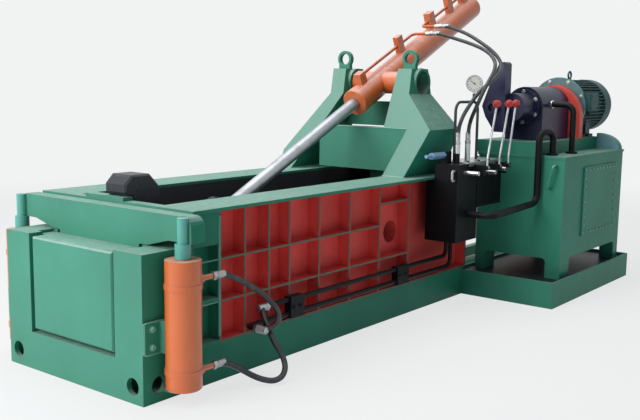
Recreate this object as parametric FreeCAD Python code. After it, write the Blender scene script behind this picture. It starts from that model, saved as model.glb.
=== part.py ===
"""Hydraulic scrap-metal baler with a swinging lid, a lifting gate and a power unit beside it.

The machine is drawn in its own frame, in millimetres: X runs from the gate end to the
hydraulic end, Y runs from the valve side (negative) to the far side, Z is up from the floor.
X = 0 is the front of the gate posts and Y = 0 is the middle of the press chamber. Every
piece is moved at the end, so that the origin is below the middle of the whole machine.
"""
import FreeCAD, Part
import math
import os

V = FreeCAD.Vector

# Press body ---------------------------------------------------------------------------
BODY_HALF = 500.0           # half width over the ribs and the gate posts
CHAMBER_HALF = 305.0        # half width of the press chamber
CHAMBER_FRONT = 312.0       # front edge of the loading opening
BODY_REAR = 2840.0          # rear end of the side walls
BED_TOP = 200.0             # top of the wear plate that the scrap slides on
LINER_T = 15.0              # wear plates of the chamber
BED_PLATE_T = 25.0          # floor plate under the wear plate
SKIRT_T = 14.0              # outer plates of the bed
BED_BAYS = 7                # bays between the cross members under the bed
RAIL_TOP = 840.0            # top of the frame round the loading opening
RAIL_T = 15.0               # plate of that frame
RAIL_OVERHANG = 56.0        # how far the frame stands out past the ribs
STRIP_WEB_T = 27.0          # web of the front strip
STRIP_WEB_LOW = 600.0       # lower edge of that web, over the bale passage
REAR_STRIP = 240.0          # rear end of the frame, along X

# Ribbed side walls --------------------------------------------------------------------
END_BAY = 170.0             # green bay between the gate post and the first rib
BAY_WIDTHS = (170.0, 175.0, 160.0, 245.0, 275.0, 295.0, 310.0)
RIB_T = 12.0                # ribs and shelves
RIB_DEPTH = 75.0            # outer pockets, from the rib edges to the skin
SKIN_T = 20.0               # skin between the outer and the inner pockets
SHELF_LOW = 385.0           # centre heights of the two long shelves
SHELF_HIGH = 587.0
SHELF_HINGE = 713.0         # short shelf over the lid hinge
END_LEDGE_T = 14.0          # ledges of the green end bay
END_CHEEK_LOW = 660.0       # lower edge of the plate over the end bay

# Gate housing -------------------------------------------------------------------------
HOUSING_LEN = 300.0
HOUSING_TOP = 674.0
POST_INNER = 314.0          # half distance between the posts
SILL_TOP = 186.0
LIFT_HOLE_R = 40.0
LIFT_HOLE_FRONT_Y = 430.0
LIFT_HOLE_SIDE_X = 90.0
LIFT_HOLE_Z = 78.0
POST_WALL = 26.0            # walls round the hollow foot of a post
POST_FOOT_TOP = 146.0       # top of that hollow

# Gate ---------------------------------------------------------------------------------
GATE_FRONT = 3.0           # gate face, behind the posts' face
GATE_REAR = 245.0
GATE_SIDE_GAP = 17.0        # between the gate's face part and a post
GATE_SILL_GAP = 18.0
GATE_TOP = 660.0
TONGUE_FRONT = 80.0         # tongues that run in the posts
TONGUE_REAR = 160.0
TONGUE_REACH = 31.0         # how far a tongue enters its post
GUIDE_GAP = 4.0             # play round a tongue
GATE_CHAMFER = 8.0
BEAM_FRONT = 162.0
BEAM_HALF = 635.0
BEAM_TOP = 830.0
BEAM_END_LOW = 715.0        # underside of the beam over the cylinders
BEAM_SHOULDER_GAP = 4.0     # between the beam and the top of a post
BEAM_CORNER_R = 50.0
BEAM_SLOPE_Y = (350.0, 490.0)
BEAM_LIP_GAP = 2.0          # the beam's foot stops short of the gate's sides

# Gate cylinders -----------------------------------------------------------------------
GATE_CYL_X = 151.0
GATE_CYL_Y = BODY_HALF + 95.0
GATE_CYL_R = 81.0
GATE_CYL_LOW = 68.0
GATE_CYL_TOP = 647.0
GATE_CYL_WALL = 18.5
GATE_CYL_CAP = 40.0         # closed foot of the barrel
GATE_GLAND = 62.0           # length of the gland in the barrel's top
GATE_ROD_R = 25.0
GATE_ROD_SEAT_R = 36.0      # shoulder under the beam
GATE_ROD_SEAT_H = 64.0
GATE_PISTON_H = 50.0
GROOVE_GAP = 1.0            # round the rod in the beam's groove
BAND_R = 4.0                # how far the bands stand out
BAND_H = 24.0
BAND_Z = (150.0, 530.0)
GATE_PORT_Z = (130.0, 545.0)
GATE_PORT_R = 19.0
GATE_PORT_LEN = 34.0
NIPPLE_R = 13.0             # hose nipple on a gate cylinder's port
NIPPLE_LEN = 60.0
SADDLE_Z = (231.0, 375.0)   # bracket between the post and the barrel
SADDLE_HALF = 66.0
SADDLE_GAP = 0.5
SADDLE_PAD_X = (4.0, 231.0) # plate between a bracket and its post
SADDLE_PAD_T = 12.0
SHELF_T = 20.0              # shelf under the barrel
SHELF_HALF = 45.0
SHELF_REACH = 60.0          # how far it stands out from the post

# Fits ---------------------------------------------------------------------------------
RUN_FIT = 0.05              # radial play of a rod in a gland and of a pin in a bush
PISTON_FIT = 0.1            # radial play of a piston in its barrel

# Lid and its hinge --------------------------------------------------------------------
HINGE_X = 2013.0
HINGE_Z = 517.0
HINGE_SHAFT_R = 45.0
HINGE_SHAFT_END = CHAMBER_HALF + 40.0  # half length of the shaft
HINGE_BUSH_R = 67.0
HINGE_BOSS_R = 88.0
LID_FRONT = 330.0
LID_LOW = 455.0
LID_TOP = 545.0
LID_SIDE_GAP = 10.0
LID_PLATE_T = 25.0
LID_RIB_T = 25.0
LID_CELLS = 5
CLEVIS_R = 70.0
CLEVIS_PIN_R = 40.0
CLEVIS_GAP = 4.0            # between the rod eye and a lug
LUG_T = 34.0
LUG_FOOT = 180.0            # half length of a lug on the deck
PIN_HEAD = 14.0             # head and washer of the clevis pin
PIN_HEAD_R = 54.0

# Nose on the lid ----------------------------------------------------------------------
NOSE_HALF = 75.0
NOSE_FRONT = 270.0
NOSE_BACK = 480.0
NOSE_COLUMN = 322.0         # front of its column, behind the front strip
NOSE_TOP = 960.0
NOSE_BEVEL = 43.0
NOSE_BACK_BEVEL = 55.0
NOSE_REST_GAP = 0.5
NOSE_EDGE = 8.0
PAD_H = 18.0                # stop pad on the front strip
PAD_Y = (-80.0, 200.0)

# Lid cylinder, measured along its own axis from the trunnion ----------------------------
CYL_TILT = 25.6             # slope of the axis at rest, in degrees
TRUNNION_X = 2490.0
TRUNNION_Z = 1415.0
LID_CYL_R = 84.0
LID_CYL_WALL = 18.0
LID_CYL_FRONT = -240.0      # ends of the tube
LID_CYL_BACK = 1290.0
LID_GLAND_LEN = 70.0
LID_GLAND_LIP = 2.5
LID_GLAND_SPIGOT = 45.0
LID_CAP_LEN = 60.0
LID_CAP_ROUND = 24.0
LID_ROD_R = 38.0
LID_EYE_HALF = 55.0
LID_PISTON_LEN = 70.0
LID_PISTON_AT = -140.0      # rear face of the piston at rest
TRUNNION_R = 65.0
TRUNNION_BUSH_R = 75.0
TRUNNION_COLLAR_R = 72.0
TRUNNION_RECESS = 85.0      # the pin's end lies this far inside the bearing's rim
COLLAR_GAP = 3.0

# Fittings on the lid cylinder
LID_PORT = (64.0, 52.0)     # length and width of a port block
LID_PORT_TOP = (155.0, 192.0, 192.0)    # tops of the port blocks over the axis
LID_PORT_S = (-187.0, 750.0, 1240.0)
LID_PORT_Y = 0.0
LID_PIPE_R = 10.0
LID_PIPE_BEND = 30.0
LID_PIPE_RISE = 49.0        # pipe axis above the barrel's surface
LID_CLAMP_S = (285.0, 1000.0)
LID_CLAMP_LEN = 60.0
LID_CLAMP_TOP = 195.0
LID_TAP_S = (500.0, 630.0)  # where the two hoses meet the thin pipes
TAP_REACH = 119.0            # how far a tap stands out past its port block
TAP_SLEEVE_R = 15.0
TAP_SLEEVE_LEN = 34.0

# Pedestals ----------------------------------------------------------------------------
PED_FOOT_FRONT = 2107.0
PED_TOP_FRONT = 2394.0
PED_REAR = 2590.0
PED_KNEE = 1130.0
PED_SHOULDER = 1345.0
PED_TOP = 1505.0
PED_LEG_INNER = (296.0, 391.0)
PED_LEG_OUTER = (453.0, 556.0)
PED_HEAD_INNER = (215.0, 208.0)
PED_HEAD_OUTER = (339.0, 312.0)
FAR_FOOT = (440.0, 548.0)   # the far pedestal leans in, and has another outline
FAR_CREASE = 957.0
FAR_SHOULDER = (175.0, 280.0)
FAR_SHOULDER_Z = 1342.0
NEAR_BEARING = (208.0, 339.0)   # ends of the trunnion's bearings
FAR_BEARING = (175.0, 320.0)
PED_WALL = 20.0
BOSS_WALL = 16.0
EYE_R = 55.0
EYE_HOLE_R = 37.5
EYE_T = 30.0
EYE_X = 2460.0
EYE_Y = 260.0
EYE_SINK = -8.0             # how deep the ring itself reaches below the pedestal's top
EYE_NECK_HALF = 44.0        # half width of the neck that carries the ring
CROSS_FRONT = 2232.0
CROSS_LOW = 860.0
CROSS_T = 26.0
CROSS_FAR = 297.0           # far end of the beam, below the leaning pedestal
CROSS_SHELF = 130.0
TIE_FRONT = 2510.0
TIE_TOP = 1290.0

# Press head and main cylinder ---------------------------------------------------------
HEAD_FACE = 1950.0
HEAD_LEN = 250.0
HEAD_TOP = 445.0
HEAD_GAP = 3.0
HEAD_PLATE_T = 40.0
HEAD_WALL_T = 25.0
RAM_Z = 325.0
RAM_R = 80.0
MAIN_R = 140.0
MAIN_WALL = 30.0
MAIN_REAR = 4850.0
MAIN_GLAND = 120.0
MAIN_CAP = 60.0
MAIN_PISTON_LEN = 120.0
MAIN_PISTON_GAP = 10.0
MAIN_FLANGE_R = 190.0
MAIN_FLANGE_T = 40.0
REAR_PLATE_T = 50.0
REAR_PLATE_HALF = 430.0
SADDLE_X = MAIN_REAR - 250.0
SADDLE_LEN = 90.0
SADDLE_WIDE = 160.0
MAIN_FOOT_HALF = 95.0
MAIN_FOOT_LOW = 175.0
SADDLE_PLATE_T = 16.0
SILL_W = 60.0
SILL_H = 80.0

# Plinth and oil tank ------------------------------------------------------------------
PLINTH_X = (2800.0, 4155.0)
PLINTH_Y = (-1154.0, -440.0)
PLINTH_H = 170.0
PLINTH_T = 12.0
TRAY_DEPTH = 20.0
TANK_X = (3000.0, 4054.0)
TANK_Y = (-1107.0, -490.0)
TANK_TOP = 955.0
TANK_T = 10.0
TANK_LID_T = 16.0
TANK_LID_OVERHANG = 6.0
ARCH_TOP = 280.0
ARCH_R = 28.0
ARCH_SIDE = (150.0, 84.0)   # feet beside the arch in the long side
ARCH_END = (103.0, 70.0)    # feet beside the arch in the short side
COVER_X = (3320.0, 3920.0)
COVER_Z = (400.0, 870.0)
COVER_T = 9.0
BOLT_EDGE = 22.0
HANDLE_Y = (-1015.0, -1050.0)
HANDLE_Z = (750.0, 896.0)
HANDLE_R = 10.0
HANDLE_REACH = 46.0
HOOD_X = (3985.0, 4054.0)
HOOD_HALF = 170.0
HOOD_H = 112.0

# Motor set ----------------------------------------------------------------------------
SET_BASE_X = (3000.0, 4050.0)
SET_BASE_Y = (-930.0, -470.0)
SET_BASE_TOP = 1040.0
SET_BASE_T = 12.0
SET_Y = -712.0
SET_Z = 1265.0
MOTOR_FLANGE_X = 3760.0
MOTOR_FLANGE_R = 205.0
MOTOR_FLANGE_T = 24.0
MOTOR_R = 168.0
MOTOR_FIN_R = 190.0
MOTOR_LEN = 460.0
MOTOR_FINS = 44
MOTOR_FIN_T = 6.0
FAN_COVER_LEN = 110.0
FAN_COVER_R = 194.0
FAN_COVER_T = 4.0
FAN_COVER_ROUND = 22.0
FAN_R = 165.0
FAN_BLADES = 7
FAN_BLADE_T = 6.0
FAN_HUB_WALL = 18.0
FAN_START = 20.0            # from the motor's end to the fan
FAN_SLOTS = 24
FAN_SLOT_W = 12.0
FAN_SLOT_INNER = 60.0       # inner ends of the slots, from the axis
MOTOR_FOOT = (70.0, 215.0)  # centres of the feet behind the flange
MOTOR_FOOT_HALF = 165.0
MOTOR_FOOT_LEN = 80.0
MOTOR_FOOT_T = 20.0
MOTOR_FOOT_STEP = 25.0      # how far a foot's web stands in from its pad
MOTOR_SHAFT_R = 27.5
BOX_SIZE = (150.0, 76.0, 130.0)
BOX_X = 3866.0
BOX_RISE = 32.0             # terminal box over the motor's axis
RING_X = 3949.0
RING_R = 26.0
RING_WIRE_R = 7.0
RING_STEM_R = 14.0
ARCH_BRACKET_X = (3640.0, 3700.0)
ARCH_BRACKET_HALF = 220.0
ARCH_BRACKET_BORE = 120.0
SPACER_R = 150.0
GUARD_X = 3200.0
GUARD_HALF = 135.0
GUARD_T = 8.0
GUARD_PORT_X = 3345.0       # fitting on the guard's near side, where the return pipe starts
GUARD_PORT_Z = 1283.0
GUARD_PORT_R = 27.0
GUARD_PORT_END = -856.0
COUPLING_R = 85.0
COUPLING_LEN = 92.0
COUPLING_GAP = 8.0
COUPLING_START = 120.0      # from the pump's mounting plate
COUPLING_STEP = 12.0
PUMP_SHAFT_IN = 40.0        # how far the shaft's end lies behind the pump's head
PUMP_FLANGE_T = 22.0
PUMP_R = 92.0
PUMP_HEAD_X = (2930.0, 3010.0)
PUMP_HEAD_OUTLINE = (       # (y, z) corners
    (-700.0, 1100.0), (-700.0, 1546.0), (-689.0, 1559.0), (-653.0, 1559.0), (-600.0, 1450.0),
    (-540.0, 1290.0), (-534.0, 1268.0), (-560.0, 1200.0), (-599.0, 1144.0), (-630.0, 1100.0),
)
PUMP_SHAFT_R = 19.0
PUMP_PORT_Z = 1260.0
PUMP_PORT_R = 44.0
PUMP_PORT_Y = -622.0
PUMP_PORT_REACH = 30.0
PUMP_PORT_WALL = 16.0

# Valve stand --------------------------------------------------------------------------
VALVE_X = (2300.0, 2890.0)
VALVE_Y = (-BODY_HALF - 220.0, -BODY_HALF)
VALVE_LOW = 440.0
VALVE_LEFT_TOP = 923.0
VALVE_FOOT_END = 2560.0     # rear end of the stand's lower part
VALVE_SHELF = 640.0         # underside of the shelf that carries the block
STAND_T = 12.0
BLOCK_Z = (652.0, 905.0)
BLOCK_X = (2440.0, 2880.0)
BLOCK_Y = (VALVE_Y[0], VALVE_Y[1] - 60.0)
TOP_PLATE_X = (2440.0, 2900.0)
TOP_PLATE_Y = (VALVE_Y[0] + 6.0, VALVE_Y[1] - 25.0)
TOP_PLATE_T = 25.0
SPOOL_Y = VALVE_Y[0] - 80.0
LEVER_BASE_X = (2524.0, 2687.0, 2812.0)
LEVER_BALL_X = (2622.0, 2788.0, 2886.0)
LEVER_BALL_Z = 1292.0
LEVER_PIVOT_Z = 897.0
LEVER_R = 7.0
LEVER_NECK = 58.0           # upright part of a lever over its pin
LEVER_HUB_R = 14.0
LEVER_HUB_LEN = 20.0
BALL_R = 26.0
CLEVIS_T = 7.0
CLEVIS_SLOT_GAP = 1.0
LEVER_PIN_R = 5.0
FITTING_X = (2410.0, 2540.0)
FITTING_Y = VALVE_Y[0] + 70.0
FITTING_TOP = 1040.0
FITTING_R = 17.0
PLUG_X = (2124.0, 2330.0)
PLUG_Y = VALVE_Y[0] + 120.0
PLUG_Z = 977.0
PLUG_R = 22.0
PLUG_SEAT_LEN = 60.0
PLUG_STEM_LEN = 60.0
SECTION_GROOVE = 8.0        # grooves between the block's sections
HOUSING_FACE = VALVE_Y[0] - 64.0       # near face of the spool housings
HOUSING_Z = (845.0, 915.0)
CAP_PLACES = ((2384.0, 872.0), (2609.0, 865.0), (2746.0, 877.0))
CAP_END = VALVE_Y[0] - 100.0
CAP_R = 14.0
GAUGE_X = 2690.0
GAUGE_Y = VALVE_Y[0] + 120.0
GAUGE_Z = 1417.0
GAUGE_R = 55.0
GAUGE_T = 42.0
GAUGE_STEM_R = 9.0
GAUGE_RIM = 6.0
GAUGE_TURN = 28.0           # of the dial, from the gate end towards the near side, in degrees
GAUGE_PIPE_X = (2461.0, 2749.0)
GAUGE_PIPE_Z = 1300.0
GAUGE_PIPE_BEND = 60.0

# Rigid pipes --------------------------------------------------------------------------
THICK_PIPE_R = 22.0
RETURN_PIPE_R = 20.0
PIPE_COLLAR_R = 38.0
PIPE_COLLAR_H = 14.0
SIDE_PIPE_R = 13.0
SIDE_PIPE_Z = (232.0, 306.0)
SIDE_PIPE_Y = -BODY_HALF - 22.0
HIGH_STUB_X = 790.0         # where the upper side pipe meets its hose
HOSE_ELBOW_X = 640.0        # where the lower side pipe turns out to its hose
HOSE_ELBOW_REACH = 50.0
SIDE_PIPE_RISE_X = (2590.0, 2533.0)
SIDE_PIPE_BEND = 45.0
CLAMP_X = (942.0, 1049.0)
REAR_CLAMP_X = (1935.0, 2055.0)
CLAMP_Z = (212.0, 324.0)
CLAMP_Y = (-BODY_HALF - 45.0, -BODY_HALF)
CLAMP_SOCKET = 22.0         # how far a pipe enters the clamp block
SIDE_PIPE_TOP = (640.0, 440.0)  # where the two pipes enter the valve stand from below
JUMPER_R = 8.0
JUMPER_REACH = 33.0
JUMPER_Y = VALVE_Y[0] + 20.0
JUMPER_Z = (826.0, 886.0)

# Free hoses ---------------------------------------------------------------------------
GATE_HOSE_R = 14.0
LID_HOSE_R = 12.0


# Small building blocks ----------------------------------------------------------------
def block(x, y, z):
    """Box between a pair of limits along each axis."""
    return Part.makeBox(x[1] - x[0], y[1] - y[0], z[1] - z[0], V(x[0], y[0], z[0]))


def bar(start, end, radius):
    """Round bar between two points."""
    axis = end.sub(start)
    return Part.makeCylinder(radius, axis.Length, start, axis)


def prism(corners, travel):
    """Closed outline of corners, swept along a vector."""
    outline = Part.makePolygon(corners + corners[:1])
    return Part.Face(outline).extrude(travel)


def side_prism(corners, y):
    """Outline of (x, z) corners between two values of Y."""
    return prism([V(a, y[0], b) for a, b in corners], V(0, y[1] - y[0], 0))


def end_prism(corners, x):
    """Outline of (y, z) corners between two values of X."""
    return prism([V(x[0], a, b) for a, b in corners], V(x[1] - x[0], 0, 0))


def fused(shapes):
    """One solid of several that touch or overlap, without leftover edges."""
    return shapes[0].multiFuse(shapes[1:]).removeSplitter()


def carved(shape, tools):
    """A shape with all the tools taken out of it."""
    return shape.cut(Part.makeCompound(tools))


def mirrored(shape):
    """The same shape on the other side of the machine's middle."""
    return shape.mirror(V(0, 0, 0), V(0, 1, 0))


def symmetric(half):
    """Outline of (y, z) corners, from the corners of its +Y half, first to last."""
    return half + [(-y, z) for y, z in reversed(half)]


def arc_corners(centre, radius, start, stop, steps):
    """Corners on an arc, from one angle to another, in degrees."""
    turns = [math.radians(start + (stop - start) * i / steps) for i in range(steps + 1)]
    return [(centre[0] + radius * math.cos(t), centre[1] + radius * math.sin(t)) for t in turns]


def corner_radius(before, corner, after, bend):
    """Bend radius at a corner: the given one, or the largest that both runs allow."""
    first = corner.sub(before)
    second = after.sub(corner)
    half_turn = first.getAngle(second) / 2
    largest = 0.45 * min(first.Length, second.Length) / math.tan(half_turn)
    return min(bend, largest) if bend else largest


def route(points, bend):
    """Wire of straight runs joined by tangent arcs, and its smallest bend radius."""
    edges = []
    radii = []
    start = points[0]
    for before, corner, after in zip(points, points[1:], points[2:]):
        into = corner.sub(before).normalize()
        out = after.sub(corner).normalize()
        half_turn = into.getAngle(out) / 2
        radius = corner_radius(before, corner, after, bend)
        reach = radius * math.tan(half_turn)
        sagitta = radius / math.cos(half_turn) - radius
        inward = out.sub(into).normalize()
        arc_start = corner.sub(into * reach)
        arc_end = corner.add(out * reach)
        edges.append(Part.LineSegment(start, arc_start).toShape())
        edges.append(Part.Arc(arc_start, corner.add(inward * sagitta), arc_end).toShape())
        radii.append(radius)
        start = arc_end
    edges.append(Part.LineSegment(start, points[-1]).toShape())
    return Part.Wire(edges), min(radii)


def tube(points, radius, bend=None, bore=0.0):
    """Round pipe or hose along a route; a rigid pipe names its bend radius."""
    path, _ = route(points, bend)
    direction = points[1].sub(points[0])
    profile = Part.Wire(Part.makeCircle(radius, points[0], direction))
    solid = path.makePipeShell([profile], True, True)
    if bore:
        inner = Part.Wire(Part.makeCircle(bore, points[0], direction))
        solid = solid.cut(path.makePipeShell([inner], True, True))
    return solid


def report_hose(name, points, radius):
    """Print a hose's length and smallest bend, and compare its volume with its section."""
    path, smallest = route(points, None)
    ratio = tube(points, radius).Volume / (math.pi * radius ** 2 * path.Length)
    print(f"{name}: length {path.Length:.0f}, smallest bend {smallest:.0f}, volume ratio {ratio:.4f}")


# Places that several pieces share -------------------------------------------------------
BED_LOW = BED_TOP - LINER_T
WALL_INNER = CHAMBER_HALF + LINER_T
WALL_TOP = RAIL_TOP - RAIL_T
WALL_FRONT = HOUSING_LEN + END_BAY
SKIN_OUTER = BODY_HALF - RIB_DEPTH
GATE_HALF = POST_INNER - GATE_SIDE_GAP
GATE_LOW = SILL_TOP + GATE_SILL_GAP
TONGUE_HALF = POST_INNER + TONGUE_REACH
STRIP_FRONT = GATE_REAR + 5.0
HINGE = V(HINGE_X, 0, HINGE_Z)
TRUNNION = V(TRUNNION_X, 0, TRUNNION_Z)
TILT = math.radians(CYL_TILT)
CYL_AXIS = V(math.cos(TILT), 0, math.sin(TILT))
CYL_UP = V(-math.sin(TILT), 0, math.cos(TILT))
PIN_DISTANCE = 2 * CYL_AXIS.dot(TRUNNION.sub(HINGE))    # the hinge lies equally far from both pins
CLEVIS = TRUNNION.sub(CYL_AXIS * PIN_DISTANCE)
LUG_INNER = LID_EYE_HALF + CLEVIS_GAP
LUG_OUTER = LUG_INNER + LUG_T
LID_HALF = CHAMBER_HALF - LID_SIDE_GAP
PAD_TOP = RAIL_TOP + PAD_H


def rib_places():
    """X of the ribs' centres, from the first one to the one before the plain bay."""
    places = [WALL_FRONT + RIB_T / 2]
    for width in BAY_WIDTHS:
        places.append(places[-1] + width)
    return places


# Press body -----------------------------------------------------------------------------
def base_frame():
    """Bed: skirts round a floor plate, with cross members below it."""
    shell = block((HOUSING_LEN, PLINTH_X[0]), (-BODY_HALF, BODY_HALF), (0, BED_LOW))
    inner_y = (SKIRT_T - BODY_HALF, BODY_HALF - SKIRT_T)
    pitch = (PLINTH_X[0] - HOUSING_LEN - SKIRT_T) / BED_BAYS
    hollows = []
    for bay in range(BED_BAYS):
        start = HOUSING_LEN + SKIRT_T + bay * pitch
        hollows.append(block((start, start + pitch - SKIRT_T), inner_y, (0, BED_LOW - BED_PLATE_T)))
    return carved(shell, hollows)


def bed_liner():
    """Wear plate on the bed, from the gate to the rear plate."""
    return block((HOUSING_LEN, BODY_REAR), (-WALL_INNER, WALL_INNER), (BED_LOW, BED_TOP))


def wall_liner():
    """Wear plate of the far wall, with a hole for the lid's hinge shaft."""
    plate = block((HOUSING_LEN, BODY_REAR), (CHAMBER_HALF, WALL_INNER), (BED_TOP, WALL_TOP))
    hole = bar(V(HINGE_X, 0, HINGE_Z), V(HINGE_X, BODY_HALF, HINGE_Z), HINGE_BUSH_R)
    return plate.cut(hole)


def cell_rows(bay):
    """Heights between the shelves of a bay, counted from the front."""
    half = RIB_T / 2
    low = (BED_LOW + RIB_T, SHELF_LOW - half)
    if bay == len(BAY_WIDTHS) - 1:
        return [low, (SHELF_LOW + half, SHELF_HINGE - half), (SHELF_HINGE + half, WALL_TOP - RIB_T)]
    middle = (SHELF_LOW + half, SHELF_HIGH - half)
    return [low, middle, (SHELF_HIGH + half, WALL_TOP - RIB_T)]


def side_wall():
    """Far side wall: one skin with ribbed cells on both of its faces."""
    wall = block((WALL_FRONT, BODY_REAR), (WALL_INNER, BODY_HALF), (BED_LOW, WALL_TOP))
    ribs = rib_places()
    cells = []
    for bay, (left, right) in enumerate(zip(ribs, ribs[1:])):
        span = (left + RIB_T / 2, right - RIB_T / 2)
        for row in cell_rows(bay):
            cells.append(block(span, (SKIN_OUTER, BODY_HALF + 1), row))
            cells.append(block(span, (WALL_INNER - 1, SKIN_OUTER - SKIN_T), row))
    rear_span = (ribs[-1] + RIB_T / 2, BODY_REAR - RIB_T)
    rear_row = (BED_LOW + RIB_T, WALL_TOP - RIB_T)
    cells.append(block(rear_span, (SKIN_OUTER, BODY_HALF + 1), rear_row))
    cells.append(block(rear_span, (WALL_INNER - 1, SKIN_OUTER - SKIN_T), rear_row))
    wall = carved(wall, cells)
    boss = bar(V(HINGE_X, WALL_INNER, HINGE_Z), V(HINGE_X, SKIN_OUTER, HINGE_Z), HINGE_BOSS_R)
    bore = bar(V(HINGE_X, 0, HINGE_Z), V(HINGE_X, BODY_HALF, HINGE_Z), HINGE_BUSH_R)
    return fused([wall, boss]).cut(bore)


def end_bay():
    """Far green bay behind the gate post: inner web, three ledges and a cheek plate."""
    x = (HOUSING_LEN, WALL_FRONT)
    web = block(x, (WALL_INNER, SKIN_OUTER), (BED_LOW, WALL_TOP))
    ledges = [
        block(x, (SKIN_OUTER, BODY_HALF), (low, low + END_LEDGE_T))
        for low in (BED_LOW, SHELF_LOW + RIB_T / 2, END_CHEEK_LOW)
    ]
    cheek = block(x, (SKIN_OUTER, BODY_HALF), (END_CHEEK_LOW + END_LEDGE_T, WALL_TOP))
    return fused([web, cheek] + ledges)


def gate_housing():
    """U-shaped guide of the gate, with hollow feet, brackets for the cylinders and end bays."""
    half = [(0, 0), (BODY_HALF, 0), (BODY_HALF, HOUSING_TOP), (POST_INNER, HOUSING_TOP)]
    half += [(POST_INNER, SILL_TOP), (0, SILL_TOP)]
    outline = half[1:-1] + [(-y, z) for y, z in reversed(half[1:-1])]
    body = end_prism(outline, (0, HOUSING_LEN))
    pieces = [body]
    cuts = []
    for side in (-1, 1):
        guide_y = sorted((0, side * (TONGUE_HALF + GUIDE_GAP)))
        guide_x = (TONGUE_FRONT - GUIDE_GAP, TONGUE_REAR + GUIDE_GAP)
        cuts.append(block(guide_x, guide_y, (SILL_TOP, HOUSING_TOP + 1)))
        foot_y = sorted((side * (POST_INNER + POST_WALL), side * (BODY_HALF - POST_WALL)))
        foot_x = (POST_WALL, HOUSING_LEN - POST_WALL)
        cuts.append(block(foot_x, foot_y, (POST_WALL, POST_FOOT_TOP)))
        front_hole = V(-1, side * LIFT_HOLE_FRONT_Y, LIFT_HOLE_Z)
        cuts.append(bar(front_hole, front_hole.add(V(POST_WALL + 2, 0, 0)), LIFT_HOLE_R))
        side_hole = V(LIFT_HOLE_SIDE_X, side * (BODY_HALF - POST_WALL - 1), LIFT_HOLE_Z)
        cuts.append(bar(side_hole, side_hole.add(V(0, side * (POST_WALL + 2), 0)), LIFT_HOLE_R))
        saddle_y = sorted((side * BODY_HALF, side * (GATE_CYL_Y - GATE_CYL_R / 2)))
        saddle_x = (GATE_CYL_X - SADDLE_HALF, GATE_CYL_X + SADDLE_HALF)
        pieces.append(block(saddle_x, saddle_y, SADDLE_Z))
        pad_y = sorted((side * BODY_HALF, side * (BODY_HALF + SADDLE_PAD_T)))
        pieces.append(block(SADDLE_PAD_X, pad_y, SADDLE_Z))
        shelf_y = sorted((side * BODY_HALF, side * (BODY_HALF + SHELF_REACH)))
        shelf_x = (GATE_CYL_X - SHELF_HALF, GATE_CYL_X + SHELF_HALF)
        pieces.append(block(shelf_x, shelf_y, (GATE_CYL_LOW - SHELF_T, GATE_CYL_LOW)))
        barrel_foot = V(GATE_CYL_X, side * GATE_CYL_Y, GATE_CYL_LOW)
        barrel_top = V(GATE_CYL_X, side * GATE_CYL_Y, GATE_CYL_TOP)
        cuts.append(bar(barrel_foot, barrel_top, GATE_CYL_R + SADDLE_GAP))
    bay = end_bay()
    return carved(fused(pieces + [bay, mirrored(bay)]), cuts)


def top_frame():
    """Flat frame round the loading opening, with the front strip's web and the stop pad."""
    rail_half = BODY_HALF + RAIL_OVERHANG
    plate = block((STRIP_FRONT, BODY_REAR), (-rail_half, rail_half), (WALL_TOP, RAIL_TOP))
    opening_x = (CHAMBER_FRONT, BODY_REAR - REAR_STRIP)
    opening = block(opening_x, (-CHAMBER_HALF, CHAMBER_HALF), (WALL_TOP, RAIL_TOP))
    web_x = (CHAMBER_FRONT - STRIP_WEB_T, CHAMBER_FRONT)
    web = block(web_x, (-CHAMBER_HALF, CHAMBER_HALF), (STRIP_WEB_LOW, WALL_TOP))
    pad = block((STRIP_FRONT + 2, CHAMBER_FRONT), PAD_Y, (RAIL_TOP, PAD_TOP))
    return fused([plate.cut(opening), web, pad])


def near_outline():
    """(y, z) outline of the near pedestal, drawn on the far side."""
    return [
        (PED_LEG_INNER[0], RAIL_TOP), (PED_LEG_OUTER[0], RAIL_TOP), (PED_LEG_OUTER[1], PED_KNEE),
        (PED_HEAD_OUTER[0], PED_SHOULDER), (PED_HEAD_OUTER[1], PED_TOP), (PED_HEAD_INNER[1], PED_TOP),
        (PED_HEAD_INNER[0], PED_KNEE), (PED_LEG_INNER[1], PED_KNEE),
    ]


def far_outline():
    """(y, z) outline of the far pedestal."""
    return [
        (FAR_FOOT[0], RAIL_TOP), (FAR_FOOT[1], RAIL_TOP), (FAR_FOOT[1], FAR_CREASE),
        (FAR_SHOULDER[1], FAR_SHOULDER_Z), (PED_HEAD_OUTER[1], PED_TOP), (PED_HEAD_INNER[1], PED_TOP),
        (FAR_SHOULDER[0], FAR_SHOULDER_Z),
    ]


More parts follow.
